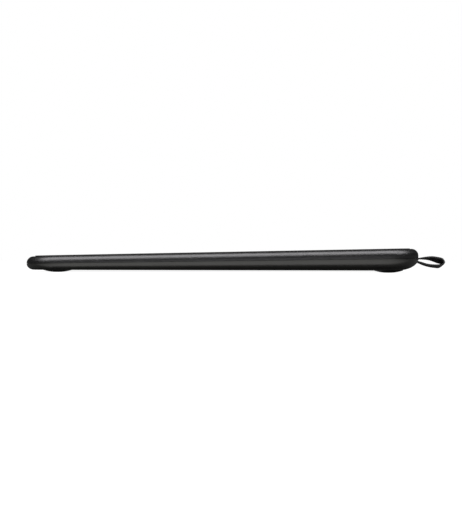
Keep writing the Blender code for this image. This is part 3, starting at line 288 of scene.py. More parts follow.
def add_node(tree, kind, inputs=(), **settings):
    node = tree.nodes.new("ShaderNode" + kind)
    for setting, value in settings.items():
        setattr(node, setting, value)
    fill(node, inputs)
    return node


def start_look(name, values=()):
    """A new material with its shader's values, the place on the object in metres, and what adds a node."""
    material = bpy.data.materials.new(name)
    material.use_nodes = True
    nodes, add = material.node_tree.nodes, partial(add_node, material.node_tree)
    shader = nodes["Principled BSDF"]
    fill(shader, values)
    place = add("TexCoord").outputs["Object"]
    output = nodes["Material Output"]
    return SimpleNamespace(material=material, shader=shader, output=output, add=add, place=place)


def grain(look, pitch, detail, distortion=0.0, turn=0.0):
    """A noise about as coarse as pitch, in mm: one length, or three where it is drawn out along an axis."""
    lengths = pitch if isinstance(pitch, tuple) else (pitch, pitch, pitch)
    scale = [1 / (length * MM) for length in lengths]
    drawn = look.add("Mapping", (look.place, (0, 0, 0), (0, 0, turn), scale))
    return look.add("TexNoise", {"Vector": drawn, "Scale": 1.0, "Detail": detail, "Distortion": distortion})


def wear(look, low, high, size, smallest, largest):
    """A slow drift between two values over patches of the given size, in mm."""
    return look.add("MapRange", (grain(look, size, 3.0), low, high, smallest, largest))


def blend(look, colour):
    """A colour as it is, or, where it is a pattern and two colours, their mix by the pattern."""
    if not isinstance(colour, tuple):
        return colour
    start, end = (blend(look, part) for part in colour[1:])
    return look.add("Mix", {"Factor": colour[0], "A": start, "B": end}, data_type="RGBA")


def skin(look, pattern, colours, rough=None, relief=None, raised=None):
    """Completes a material: a pattern takes it from one colour to another, its roughness follows a node or
    drifts as wear does, and the pattern, or the raised one, stands up in relief, in mm."""
    fill(look.shader, {"Base Color": blend(look, (pattern, *colours))})
    if rough:
        fill(look.shader, {"Roughness": wear(look, *rough) if isinstance(rough, tuple) else rough})
    if relief:
        height = {"Height": raised or pattern, "Distance": relief * MM}
        fill(look.shader, {"Normal": look.add("Bump", height)})
    return look.material


# Black ABS from a lightly blasted mould: smooth to the hand, with a broad soft sheen that drifts a little
# where fingers have polished it, and a very fine orange peel.
look = start_look("satin_abs", {"Specular Tint": "#fffefa"})
flow, peel = grain(look, 9, 4.0), grain(look, 0.7, 2.0)
SATIN_ABS = skin(look, flow, ("#151514", "#1a1a19"), (0.3, 0.7, 14, 0.36, 0.44), 0.008, peel)


def paint(piece, material):
    piece.data.materials.clear()
    piece.data.materials.append(material)


def dress(piece, material, slot, *nodes, body="housing"):
    """Gives a finished piece its material, the CAD nodes that it stands for and its body. The slot is not
    used.
    """
    paint(piece, material)
    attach(piece, body)
    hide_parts(*nodes)


def arc(steps, upright, level, back=False):
    """Rings round a quarter curve, from where it stands upright to where it lies level, or back."""

    def ring(angle, y):
        (inset, height), (far_inset, far_height) = upright(y), level(y)
        return mix(inset, far_inset, 1 - cos(angle)), mix(height, far_height, sin(angle))

    rings = [partial(ring, pi / 2 * step / steps) for step in range(steps + 1)]
    return rings[::-1] if back else rings


# Up from the flat underside, round the belly, over the tongue, and down inside to the floor.
inside = TONGUE_INSET + TONGUE_WALL
rings = [
    *arc(BELLY_STEPS, lambda y: (0, base_edge(y)), lambda y: (belly(y), DESK_CLEARANCE), True),
    lambda y: (SEAM_DEPTH, base_edge(y)),
    lambda y: (SEAM_DEPTH, top_edge(y) - SEAM_FIT),
    lambda y: (TONGUE_INSET, top_edge(y) - SEAM_FIT),
    lambda y: (TONGUE_INSET, land_top(y) + TONGUE_ABOVE_LAND),
    lambda y: (inside, land_top(y) + TONGUE_ABOVE_LAND),
    *arc(BELLY_STEPS // 2, lambda y: (inside, base_edge(y)), lambda y: (belly(y) + WALL, FLOOR_TOP)),
]
base_cover = ring_stack("base_cover_shell", rings)

hatch_low, hatch_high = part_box("hatch_cover")
LEDGE = 2.4 * MM  # round the bays, where the hatch rests
BAY_WALL = 1.2 * MM
BAY_RIB = 1.4 * MM
BAY_CORNER = 1.0 * MM
BAY_ROOTS = 0.7 * MM  # how far the bays' block reaches down into the floor
HATCH_CORNER = 2.0 * MM
HATCH_THICKNESS = 1.1 * MM
BAY_TOP = 7.665 * MM
BAY_ROOF = BAY_TOP - 0.9 * MM
BAY_WIDTHS = (56 * MM, 26 * MM, 32 * MM)  # battery, wireless module, spare nibs
LEDGE_HEIGHT = DESK_CLEARANCE + HATCH_THICKNESS + FIT
recess_low = Vector((hatch_low.x - FIT, hatch_low.y - FIT, 0))
recess_high = Vector((hatch_high.x + FIT, hatch_high.y + FIT, LEDGE_HEIGHT))
block_low = (recess_low.x - BAY_WALL, recess_low.y - BAY_WALL, FLOOR_TOP - BAY_ROOTS)
block_high = (recess_high.x + BAY_WALL, recess_high.y + BAY_WALL, BAY_TOP)
combine(base_cover, [slab("bay_block", block_low, block_high, HATCH_CORNER)], "UNION")
tools = [slab("hatch_recess", recess_low, recess_high, HATCH_CORNER)]
bay_left = recess_low.x + LEDGE
for width in BAY_WIDTHS:
    bay_low = (bay_left, recess_low.y + LEDGE, 0)
    bay_high = (bay_left + width, recess_high.y - LEDGE, BAY_ROOF)
    tools.append(slab("bay", bay_low, bay_high, BAY_CORNER))
    bay_left += width + BAY_RIB

PEG_HALF = (2.5 * MM, 0.4 * MM)
PEG_RISE = 1.8 * MM
PEG_PLACE = 40 * MM


def hatch_pegs(low, high, grow=0.0):
    """A block at each of the hatch's four pegs, from low to high."""
    half = [reach + grow for reach in PEG_HALF]
    ends = (recess_low.y + LEDGE / 2, recess_high.y - LEDGE / 2)
    return [block("peg", (x, y), half, low, high) for x in (-PEG_PLACE, PEG_PLACE) for y in ends]


tools += hatch_pegs(0, LEDGE_HEIGHT + PEG_RISE, FIT)

FOOT_SEAT = DESK_CLEARANCE + 0.7 * MM
SCREW_POCKET_RADIUS = 2.1 * MM
SCREW_POCKET_TOP = 2.7 * MM
feet = {name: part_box(name) for name in sorted(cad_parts) if name.startswith("foot_")}
for foot_low, foot_high in feet.values():
    middle = (foot_low + foot_high) / 2
    tools.append(cylinder("foot_seat", middle, FOOT_SEAT, (foot_high.x - foot_low.x) / 2 + FIT, 64))
    tools.append(cylinder("screw_pocket", middle, SCREW_POCKET_TOP, SCREW_POCKET_RADIUS))

NOTCH_RADIUS = 6 * MM
NOTCH_DEPTH = 0.7 * MM
BALL_STEPS = 128


def scoop():
    """A round finger scoop across the hatch's front edge, part of a ball's surface."""
    ball = (NOTCH_RADIUS**2 + NOTCH_DEPTH**2) / (2 * NOTCH_DEPTH)
    place = (0, recess_low.y, DESK_CLEARANCE + NOTCH_DEPTH - ball)
    steps = {"segments": BALL_STEPS, "ring_count": BALL_STEPS}
    return start_piece("scoop", "uv_sphere", radius=ball, location=place, **steps)


tools.append(scoop())

loop_low, loop_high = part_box("pen_loop")
LOOP_MIDDLE = 5.7 * MM
SLOT_HALF_HEIGHT = 1.05 * MM
SLOT_FRONT = HALF_DEPTH + CASE_MIDDLE - 5.7 * MM
socket_low, socket_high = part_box("usb_socket")


def openings():
    """Cutters for the pen loop's slot and for the USB socket's hole in the left wall."""
    low = (loop_low.x - FIT, SLOT_FRONT, LOOP_MIDDLE - SLOT_HALF_HEIGHT)
    high = (loop_high.x + FIT, case_high.y + OVERRUN, LOOP_MIDDLE + SLOT_HALF_HEIGHT)
    slot = box("loop_slot", low, high)
    fit = Vector((0, FIT, FIT))
    low = socket_low - fit
    low.x = case_low.x - OVERRUN
    return [slot, box("socket_hole", low, socket_high + fit)]


combine(base_cover, tools + openings())
smooth(base_cover)
dress(base_cover, SATIN_ABS, "smooth_shell", "base_cover")

# Top cover
# The upper half, moulded in the same black ABS but from a spark-eroded mould, whose fine pits leave a
# leathery grain. Its rounded edge runs right round and carries the drawing surface in a shallow recess.

PLATE_INSET = EDGE_REACH + 0.85 * MM
RECESS_DROP = 0.9 * MM
WEB_DROP = 2.0 * MM
INNER_EDGE_REACH = 1.6 * MM
EDGE_STEPS = 16
INNER_STEPS = 8

# Out from the ceiling inside, down the skirt, up and over the rounded edge, into the recess.
recess = PLATE_INSET - FIT
ceiling = WALL + INNER_EDGE_REACH
rim = recess - EDGE_BREAK
rings = [
    *arc(INNER_STEPS, lambda y: (WALL, land_top(y)), lambda y: (ceiling, surface_height(y) - WEB_DROP), True),
    lambda y: (WALL, top_edge(y)),
    *arc(BREAK_STEPS, lambda y: (0, top_edge(y) + SEAM_BREAK), lambda y: (SEAM_BREAK, top_edge(y)), True),
    *arc(EDGE_STEPS, lambda y: (0, land_top(y)), lambda y: (EDGE_REACH, rim_height(y))),
    *arc(BREAK_STEPS, lambda y: (recess, rim_height(y) - EDGE_BREAK), lambda y: (rim, rim_height(y)), True),
    lambda y: (recess, surface_height(y) - RECESS_DROP),
]

# Black ABS from a spark-eroded mould: a fine pitted grain that breaks the highlight into specks, with painted
# shade that darkens its colour in the pits' hollows. The real pits are about 0.1 mm wide and are drawn near
# 0.6 mm, the finest that the picture shows.
look = start_look("textured_abs", {"Specular Tint": "#fdfbff"})
pits_and_pit_shade = grain(look, 0.34, 0.0)
# The colour runs from near-black in the pits' hollows to dark grey on their tops, as painted shade.
TEXTURED_ABS = skin(look, pits_and_pit_shade, ("#090909", "#181818"), (0.3, 0.7, 20, 0.32, 0.35), 0.075)

top_cover = ring_stack("top_cover_shell", rings)

SURFACE_ORIGIN = Vector((0, CASE_MIDDLE, (FRONT_HEIGHT + REAR_HEIGHT) / 2))
TILT = atan((REAR_HEIGHT - FRONT_HEIGHT) / (2 * HALF_DEPTH))


def lean(piece, place=SURFACE_ORIGIN):
    """Lays a piece modelled flat round the origin at its place, on the drawing surface's slope."""
    return settle(piece, place, (TILT, 0, 0))


SURFACE_CORNER = CORNER_RADIUS - PLATE_INSET
SURFACE_CORNER_STEPS = 16
KEY_CORNER = 1.2 * MM
KEY_CORNER_STEPS = 5
SAME_PLACE = 0.01 * MM  # an edge this close to a corner is at it


def at_corners(*corners):
    """What tells whether a place is at one of the corners, on either side."""
    return lambda place: any(
        abs(abs(place.x) - x) < SAME_PLACE and abs(place.y - y) < SAME_PLACE for x, y in corners
    )


def round_key(piece, grow=0.0):
    """Rounds a key's corners, or its pocket's. One at the case's corner is the drawing surface's own."""
    at_case_corner = at_corners((KEY_OUTER + grow, KEY_REAR + grow))
    round_edges(piece, 2, KEY_CORNER, KEY_CORNER_STEPS, lambda place: not at_case_corner(place))
    round_edges(piece, 2, SURFACE_CORNER + grow, SURFACE_CORNER_STEPS, at_case_corner)


KEY_WIDTH = 28 * MM
KEY_DEPTH = 16 * MM
KEY_GAP = 0.4 * MM
KEY_POCKET_FIT = 0.2 * MM
KEY_POCKET_DROP = 1.4 * MM
KEY_OUTER = HALF_WIDTH - PLATE_INSET
KEY_REAR = HALF_DEPTH - PLATE_INSET
KEY_FRONT = KEY_REAR - KEY_DEPTH
PAIR_INNER = KEY_OUTER - 2 * KEY_WIDTH - KEY_GAP
STEM_Y = (KEY_FRONT + KEY_REAR) / 2 - 3 * MM
STEM_PLACES = (87.1 * MM, KEY_OUTER - 1.5 * KEY_WIDTH - KEY_GAP)  # of an outer and an inner key
WINDOW = (5.85 * MM, 2.25 * MM)  # half the opening for a key's stem and legs
LIGHT_HALF = (3.5 * MM, 0.6 * MM)


def window(name, x, half):
    """A cutter through the web under the drawing surface, in line with the key switches."""
    return block(name, (x, STEM_Y), half, -WEB_DROP - OVERRUN, -RECESS_DROP + OVERRUN / 2)


tools = openings()
for side in (-1, 1):
    near, far = sorted((side * (PAIR_INNER - KEY_POCKET_FIT), side * (KEY_OUTER + KEY_POCKET_FIT)))
    low = (near, KEY_FRONT - KEY_POCKET_FIT, -KEY_POCKET_DROP)
    pocket = box("key_pocket", low, (far, KEY_REAR + KEY_POCKET_FIT, OVERRUN))
    round_key(pocket, KEY_POCKET_FIT)
    tools.append(lean(pocket))
    for stem in STEM_PLACES:
        tools.append(lean(window("key_window", side * stem, WINDOW)))
tools.append(lean(window("light_window", 0, [reach + FIT for reach in LIGHT_HALF])))
combine(top_cover, tools)
smooth(top_cover)
dress(top_cover, TEXTURED_ABS, "textured_shell", "top_cover")

# Drawing surface
# A moulded plate with a printed polyester film over it, matt and faintly toothed, so that the nib grips as
# on paper. It is bonded into the top cover's recess, and its rear corners are cut away for the keys.

PLATE_THICKNESS = 0.8 * MM
PLATE_STEP = KEY_FRONT - KEY_GAP
PLATE_INNER = PAIR_INNER - KEY_GAP
GLUE = 0.1 * MM
ACTIVE_HALF = (76 * MM, 47.5 * MM)  # half the area that the pen works on
ACTIVE_MIDDLE = CASE_MIDDLE + (PLATE_STEP - KEY_REAR) / 2
MARK_LENGTH = 5 * MM
MARK_WIDTH = 0.35 * MM
STROKE = (11.11, 0.4545, 1000.0)  # length and width of the worn strokes, in mm
STROKE_TURN = radians(32)


def offsets(look, y):
    """How far a place is from the middle of the tablet's width and from y, as outputs by axis."""
    centred = look.add("Mapping", (look.place, (0, -y, 0)))
    return look.add("SeparateXYZ", [look.add("VectorMath", [centred], operation="ABSOLUTE")]).outputs


# Matt polyester film: nearly black, with a toothed surface that scatters light at a glance, faint pale arcs
# worn by the nib, and thin printed corner marks round the area that the pen works on.
look = start_look("matt_film", {"IOR": 1.55})
tooth = grain(look, 0.35, 2.0)
film = (tooth, "#1a1a1b", "#242425")
away = offsets(look, ACTIVE_MIDDLE)
legs = []
for near, far in ((0, 1), (1, 0)):
    on_line = (away[near], ACTIVE_HALF[near], MARK_WIDTH / 2)
    in_leg = (away[far], ACTIVE_HALF[far] - MARK_LENGTH / 2, (MARK_LENGTH + MARK_WIDTH) / 2)
    both = [look.add("Math", inputs, operation="COMPARE") for inputs in (on_line, in_leg)]
    legs.append(look.add("Math", both, operation="MULTIPLY"))
marks = look.add("Math", legs, operation="MAXIMUM")
strokes = look.add("MapRange", (grain(look, STROKE, 3.0, 0.6, STROKE_TURN), 0.66, 0.74, 0.56, 0.40))
MATT_FILM = skin(look, marks, (film, "#4c4c4e"), strokes, 0.012, tooth)

plate = box("drawing_surface", (-KEY_OUTER, -KEY_REAR, -PLATE_THICKNESS), (KEY_OUTER, KEY_REAR, 0))
round_edges(plate, 2, SURFACE_CORNER, SURFACE_CORNER_STEPS, lambda place: place.y < 0)
tools = []
for side in (-1, 1):
    near, far = sorted((side * PLATE_INNER, side * (KEY_OUTER + OVERRUN)))
    notch = box("key_notch", (near, PLATE_STEP, -OVERRUN), (far, KEY_REAR + OVERRUN, OVERRUN))
    round_edges(notch, 2, KEY_CORNER, KEY_CORNER_STEPS, at_corners((PLATE_INNER, PLATE_STEP)))
    tools.append(notch)
tools.append(block("light_slot", (0, STEM_Y), [reach + GLUE for reach in LIGHT_HALF], -OVERRUN, OVERRUN))
combine(plate, tools)
outer_corners = at_corners((KEY_OUTER, PLATE_STEP), (PLATE_INNER, KEY_REAR))
round_edges(plate, 2, KEY_CORNER, KEY_CORNER_STEPS, outer_corners)
break_edges(plate)
lean(plate)
dress(plate, MATT_FILM, "surface_film", "surface_plate")

# Keys
# Two pairs of shortcut keys at the rear corners, moulded in one piece each: a dished cap with the same film
# as the drawing surface, a stem over its switch, and two legs that hook under the top cover.

KEY_CAP = 0.8 * MM
KEY_DISH = 0.2 * MM
KEY_RIM = 0.15 * MM  # flat round the dish
DISH_SLOPE = 0.85 * MM
DISH_STEPS = 6
STEM_HALF = (3 * MM, 2 * MM)
STEM_DROP = 3.3 * MM
STEM_ROOT = -0.64 * MM  # where the stem and the legs run into the cap
LEG_OFFSET = 5 * MM
LEG_HALF = 0.6 * MM
HOOK_HALF = 0.65 * MM  # of its length, from the leg's middle
HOOK_TOP = -WEB_DROP - 0.25 * MM
HOOK_RISE = 0.1 * MM
LEG_FOOT = HOOK_TOP - 0.6 * MM


def key_cap(name, left, right):
    """The cap, its upper face stepped inwards and down to a shallow dish."""
    cap = box(name, (left, KEY_FRONT, -KEY_CAP), (right, KEY_REAR, 0))
    round_key(cap)
    pick(cap, "FACE", lambda face: face.normal.z > FACING)
    bpy.ops.mesh.inset(thickness=KEY_RIM, depth=0)
    for step in range(DISH_STEPS):
        near, far = (sin(pi / 2 * (step + k) / DISH_STEPS) ** 2 * KEY_DISH for k in (0, 1))
        bpy.ops.mesh.inset(thickness=DISH_SLOPE / DISH_STEPS, depth=near - far)
    leave_edit()
    break_edges(cap, EDGE_BREAK / 2, 2, 60)
    return cap


def key_legs(stem):
    half = STEM_HALF[1]
    parts = [block("stem", (stem, STEM_Y), STEM_HALF, -STEM_DROP, STEM_ROOT)]
    for side in (-1, 1):
        leg = (stem + side * LEG_OFFSET, STEM_Y)
        hook = (leg[0] + side * HOOK_HALF, STEM_Y)
        parts.append(block("leg", leg, (LEG_HALF, half), LEG_FOOT, STEM_ROOT))
        parts.append(block("hook", hook, (HOOK_HALF, half / 2), LEG_FOOT + HOOK_RISE, HOOK_TOP))
    return parts


for number in range(1, 5):
    side = -1 if number < 3 else 1
    outer = number in (1, 4)
    reach = KEY_OUTER if outer else KEY_OUTER - KEY_WIDTH - KEY_GAP
    left, right = sorted((side * reach, side * (reach - KEY_WIDTH)))
    key = key_cap(f"key_cap_{number}", left, right)
    combine(key, key_legs(side * STEM_PLACES[0 if outer else 1]), "UNION")
    lean(key)
    smooth(key)
    dress(key, MATT_FILM, "surface_film", f"key_{number}", body=f"key_{number}")

# Hatch
# A loose cover in the same satin ABS, flush with the underside. It closes the three bays, clicks in by four
# pegs on the ledge and lifts out by a round scoop at its front edge.

hatch_top = DESK_CLEARANCE + HATCH_THICKNESS
low, high = (hatch_low.x, hatch_low.y, DESK_CLEARANCE), (hatch_high.x, hatch_high.y, hatch_top)
hatch = slab("hatch", low, high, HATCH_CORNER - FIT)
combine(hatch, [scoop()])
break_edges(hatch)
combine(hatch, hatch_pegs(hatch_top - HATCH_THICKNESS / 2, hatch_top + PEG_RISE), "UNION")
smooth(hatch)
dress(hatch, SATIN_ABS, "smooth_shell", "hatch_cover", body="hatch")

# Feet
# Four domes of moulded silicone rubber, dull and a little dusty, glued over the case screws. Each stands on
# a small flat at its middle.

FOOT_FLAT = 1.5 * MM
FOOT_SKIRT_SHARE = 0.8  # of the way from the underside to the foot's top, where its side ends
FOOT_STEPS = 14
FOOT_SEGMENTS = 72
SAME_POINT = 0.001 * MM  # two points of a mesh closer than this are one


def close_up(piece):
    """Merges a piece's doubled points and turns its faces outwards."""
    open_up(piece)
    bpy.ops.mesh.remove_doubles(threshold=SAME_POINT)
    bpy.ops.mesh.normals_make_consistent(inside=False)
    leave_edit()
    return piece


def turned(name, x, y, profile, segments):
    """A round solid, extruded ring by ring from its lowest one."""
    radius, height = profile[0]
    disc = {"vertices": segments, "radius": radius, "fill_type": "NGON"}
    piece = start_piece(name, "circle", location=(x, y, height), **disc)
    open_up(piece)

    def on_ring(point):
        out = Vector((point.x - x, point.y - y)).normalized() * radius
        return Vector((x + out.x, y + out.y, height))

    for radius, height in profile[1:]:
        bpy.ops.mesh.extrude_region_move()
        place_selected(piece, on_ring)
    leave_edit()
    return close_up(piece)


def foot_profile(radius, top):
    sag = DESK_CLEARANCE
    ball = (radius**2 + sag**2) / (2 * sag)
    flat_sag = ball - sqrt(ball**2 - FOOT_FLAT**2)
    profile = []
    for step in range(FOOT_STEPS + 1):
        across = mix(FOOT_FLAT, radius, step / FOOT_STEPS)
        drop = ball - sqrt(ball**2 - across**2)
        profile.append((across, (drop - flat_sag) * sag / (sag - flat_sag)))
    return profile + [(radius, mix(sag, top, FOOT_SKIRT_SHARE)), (radius - EDGE_BREAK, top)]


# Moulded silicone rubber: black and dull, faintly pebbled, with grey dust that sticks to it in spots.
look = start_look("silicone_rubber", {"IOR": 1.42})
dust = grain(look, 0.9, 5.0)
spots = look.add("MapRange", (dust, 0.56, 0.72, 0.0, 0.5))
SILICONE_RUBBER = skin(look, spots, ("#151515", "#383735"), (0.3, 0.7, 3, 0.66, 0.8), 0.02, dust)

for name, (foot_low, foot_high) in feet.items():
    middle = (foot_low + foot_high) / 2
    profile = foot_profile((foot_high.x - foot_low.x) / 2, foot_high.z)
    foot = turned(f"{name}_dome", middle.x, middle.y, profile, FOOT_SEGMENTS)
    smooth(foot, 60)
    dress(foot, SILICONE_RUBBER, "foot_rubber", name)

# Pen loop
# A flat tape woven of black polyester, its two ends led through the slot and round a steel rod inside. It
# stands out by its own stiffness, a little twisted, with its inner edge hanging lower than its outer one.

LOOP_THICKNESS = 0.7 * MM
LOOP_PAIR_GAP = 0.2 * MM
LOOP_REACH = loop_high.y - case_high.y
LOOP_RISE = 2.05 * MM
LOOP_DROP = 2.5 * MM
LOOP_TIP_DROP = 0.6 * MM
LOOP_TWIST = 2.15 * MM
LOWER_TWIST_SHARE = 0.6
TWIST_REACH_SHARE = 0.72  # of the loop's reach, over which the twist builds up
ROD_BACK = 6.5 * MM
ROD_TURN = 0.8 * MM + 0.1 * MM + LOOP_THICKNESS / 2  # the tape's middle, from the rod's
ROD_STEPS = 4
EYE_TOP_SHARES = ((0.15, 0.36), (0.34, 0.76), (0.56, 1.0), (0.76, 0.76), (0.93, 0.27))
EYE_BOTTOM_SHARES = (
    (0.995, 0.34), (0.96, 0.76), (0.895, 0.96), (0.80, 0.97), (0.66, 0.98), (0.50, 0.88),
    (0.36, 0.68), (0.24, 0.38), (0.12, 0.13),
)
CURVE_STEPS = 40
WARP_THREADS = 20
PICKS = 92  # weft threads, all round the loop
THREAD_STEPS = 4
THREAD_RISE = 0.045 * MM


def loop_line():
    """Middle line of the tape, as y and z: out of the slot, round the eye, back and round the rod."""
    rear, half = case_high.y, LOOP_THICKNESS / 2
    pair = LOOP_PAIR_GAP / 2 + half
    reach, rise, drop = LOOP_REACH - half, LOOP_RISE - half, LOOP_DROP - half
    line = [(rear - 2 * WALL, LOOP_MIDDLE + pair), (rear + WALL / 2, LOOP_MIDDLE + pair)]
    line += [(rear + reach * a, LOOP_MIDDLE + mix(pair, rise, b)) for a, b in EYE_TOP_SHARES]
    line += [(rear + reach, LOOP_MIDDLE - LOOP_TIP_DROP)]
    line += [(rear + reach * a, LOOP_MIDDLE - mix(pair, drop, b)) for a, b in EYE_BOTTOM_SHARES]
    line += [(rear + WALL / 2, LOOP_MIDDLE - pair), (rear - 2 * WALL, LOOP_MIDDLE - pair)]
    for step in range(ROD_STEPS + 1):
        angle = -pi / 2 - pi * step / ROD_STEPS
        line.append((rear - ROD_BACK + ROD_TURN * cos(angle), LOOP_MIDDLE + ROD_TURN * sin(angle)))
    return [Vector(point) for point in line]


def evened(points, count):
    """Points at an even spacing on a smooth closed curve through the given ones."""
    fine = []
    for i in range(len(points)):
        a, b, c, d = (points[(i + k) % len(points)] for k in (-1, 0, 1, 2))
        for step in range(CURVE_STEPS):
            t = step / CURVE_STEPS
            cubic = (2 * a - 5 * b + 4 * c - d) * t**2 + (3 * b - a - 3 * c + d) * t**3
            fine.append((2 * b + (c - a) * t + cubic) / 2)
    lengths = [0.0]
    for p, q in zip(fine, fine[1:] + fine[:1]):
        lengths.append(lengths[-1] + (q - p).length)
    even, k = [], 0
    for i in range(count):
        target = lengths[-1] * i / count
        while lengths[k + 1] < target:
            k += 1
        share = (target - lengths[k]) / (lengths[k + 1] - lengths[k])
        even.append(fine[k].lerp(fine[(k + 1) % len(fine)], share))
    return even


def loop_droop(point):
    """How far the tape's inner edge hangs below its outer one."""
    outside = (point.x - case_high.y - WALL) / (LOOP_REACH * TWIST_REACH_SHARE)
    upper = (point.y - LOOP_MIDDLE) / LOOP_RISE + 0.5
    outside, upper = (min(max(share, 0), 1) for share in (outside, upper))
    return LOOP_TWIST * outside * mix(LOWER_TWIST_SHARE, 1, upper)


# Black polyester tape: dull matt threads over and under, with alternate thread crossings checkered darker as
# painted shade in the weave's gaps, and a soft pile of loose fibre that lifts the light a little at a glance.
values = {"Roughness": 0.85, "Sheen Weight": 0.12, "Sheen Roughness": 0.5}
look = start_look("woven_polyester", values)
uv = look.add("TexCoord").outputs["UV"]
threads = look.add("Mapping", {"Vector": uv, "Scale": (WARP_THREADS, PICKS, 1)})
# Painted shade: the darker of the two checker colours stands for shade in the gaps of the weave.
gap_shade_checks = look.add("TexChecker", (threads, "#0c0c0c", "#151515", 1.0))
WOVEN_POLYESTER = skin(look, grain(look, 0.12, 4.0), ("#080808", gap_shade_checks), None, 0.03)

# A grid, one cell for each quarter of a thread, rolled round the loop's line and thickened.
rows = PICKS * THREAD_STEPS
cells = {"x_subdivisions": WARP_THREADS * THREAD_STEPS, "y_subdivisions": rows}
line = evened(loop_line(), rows)
tape = start_piece("woven_loop", "grid", size=1, calc_uvs=True, **cells)
for vert in tape.data.vertices:
    u, v = vert.co.x + 0.5, vert.co.y + 0.5
    row = round(v * rows) % rows
    point, before, after = line[row], line[row - 1], line[(row + 1) % rows]
    along = (after - before).normalized()
    out = Vector((-along.y, along.x))
    weave = sin(pi * u * WARP_THREADS) * sin(pi * v * PICKS)
    place = point + out * THREAD_RISE * weave
    sag = loop_droop(point) * (1 - u)
    vert.co = (mix(loop_low.x, loop_high.x, u), place.x, place.y - sag)
close_up(tape)
apply_modifier(tape, "SOLIDIFY", thickness=LOOP_THICKNESS - 2 * THREAD_RISE, offset=0)
smooth(tape, 60)
dress(tape, WOVEN_POLYESTER, "loop_webbing", "pen_loop")

# USB socket
# A micro-B receptacle in the left wall: a shell folded from tinned steel strip round a black nylon tongue
# with five gold-plated contacts. It is soldered to the tab of the main board.

USB_SIZE = (5.2 * MM, 7.6 * MM, 2.4 * MM)
USB_WALL = 0.3 * MM
USB_FLARE = 0.12 * MM  # of the mouth, past the shell's sides
USB_FLARE_DEPTH = 0.5 * MM
USB_KEYED_CORNER = 0.75 * MM  # the two lower ones, which let a plug in one way up only
USB_ROUND_CORNER = 0.4 * MM
TONGUE_SIZE = (3.6 * MM, 3.8 * MM, 0.6 * MM)
CONTACTS = 5
CONTACT_PITCH = 0.65 * MM
CONTACT_SIZE = (2.6 * MM, 0.37 * MM, 0.12 * MM)

# Steel strip with a bright dip of tin: silvery and slightly milky, clouded where the tin ran.
look = start_look("tinned_steel", {"Metallic": 1.0})
clouds = grain(look, 1.1, 4.0)
TINNED_STEEL = skin(look, clouds, ("#a9a9a6", "#cfcfcb"), (0.35, 0.65, 0.8, 0.22, 0.42), 0.01)

# A flash of gold over nickel: warm and bright, with fine marks where a mating contact has wiped it.
look = start_look("gold_plate", {"Metallic": 1.0})
marks = grain(look, (2, 0.06, 1), 2.0)
shine = look.add("MapRange", (marks, 0.0, 1.0, 0.18, 0.36))
GOLD_PLATE = skin(look, marks, ("#c9a052", "#ecc873"), shine)

# Black nylon filled with glass fibre: dull, with short pale fibres just showing in its skin.
look = start_look("filled_nylon", {"IOR": 1.53})
fibres = grain(look, (0.5, 0.08, 0.08), 3.0)
pale = look.add("MapRange", (fibres, 0.55, 0.75))
FILLED_NYLON = skin(look, pale, ("#17171a", "#303034"), (0.3, 0.7, 0.7, 0.45, 0.62), 0.01, fibres)


def draw_out(depth, near, far):
    """Extrudes the USB shell's mouth along X, from one inset of the shell's sides to another."""
    bpy.ops.mesh.extrude_region_move(TRANSFORM_OT_translate={"value": (depth, 0, 0)})
    across, up = ((length / 2 - far) / (length / 2 - near) for length in USB_SIZE[1:])
    place_selected(shell, lambda point: Vector((point.x, point.y * across, point.z * up)))


def row_of(piece, count, pitch):
    """Repeats piece along Y into one row round its middle."""
    offset = {"use_relative_offset": False, "use_constant_offset": True}
    apply_modifier(piece, "ARRAY", count=count, constant_offset_displace=(0, pitch, 0), **offset)
    return settle(piece, (0, -pitch * (count - 1) / 2, 0))


# A block with its lower corners cut off, drawn out to a flared mouth and hollowed from there.
half_x, half_y, half_z = (length / 2 for length in USB_SIZE)
low = (USB_FLARE_DEPTH - half_x, USB_FLARE - half_y, USB_FLARE - half_z)
shell = box("usb_shell", low, (half_x, half_y - USB_FLARE, half_z - USB_FLARE))
round_edges(shell, 0, USB_KEYED_CORNER, 1, lambda place: place.z < 0)
round_edges(shell, 0, USB_ROUND_CORNER, 5, lambda place: place.z > 0)
pick(shell, "FACE", lambda face: face.normal.x < -FACING)
draw_out(-USB_FLARE_DEPTH, USB_FLARE, 0)
bpy.ops.mesh.inset(thickness=USB_WALL / 2, depth=0)
draw_out(USB_FLARE_DEPTH, USB_WALL / 2, USB_FLARE + USB_WALL)
draw_out(USB_SIZE[0] - USB_FLARE_DEPTH - 2 * USB_WALL, 0, 0)
leave_edit()
break_edges(shell, USB_WALL / 6, 2, 50)

half_x, half_y, half_z = (length / 2 for length in TONGUE_SIZE)
tongue_end = USB_SIZE[0] / 2 - USB_WALL * 2.5
tongue_low = (tongue_end - TONGUE_SIZE[0], -half_y, -half_z)
tongue = box("usb_tongue", tongue_low, (tongue_end + USB_WALL, half_y, half_z))
break_edges(tongue, half_z / 3, 2)
half_x, half_y, half_z = (length / 2 for length in CONTACT_SIZE)
contact_end = tongue_end - CONTACT_PITCH / 2
contact_low = (contact_end - CONTACT_SIZE[0], -half_y, -TONGUE_SIZE[2] / 2 - half_z)
contacts = box("usb_contacts", contact_low, (contact_end, half_y, -TONGUE_SIZE[2] / 2 + half_z))
break_edges(contacts, half_z / 2, 2)
row_of(contacts, CONTACTS, CONTACT_PITCH)
for piece, material, slot in (
    (shell, TINNED_STEEL, "socket_steel"),
    (tongue, FILLED_NYLON, "connector_plastic"),
    (contacts, GOLD_PLATE, "socket_steel"),
):
    lean(piece, (socket_low + socket_high) / 2)
    dress(piece, material, slot, "usb_socket")

# Bay contacts
# A block of black filled nylon at the left end of the battery's bay and of the module's, each with a row of
# gold-plated leaf springs that bow out of their slots to meet the battery's or the module's pads.

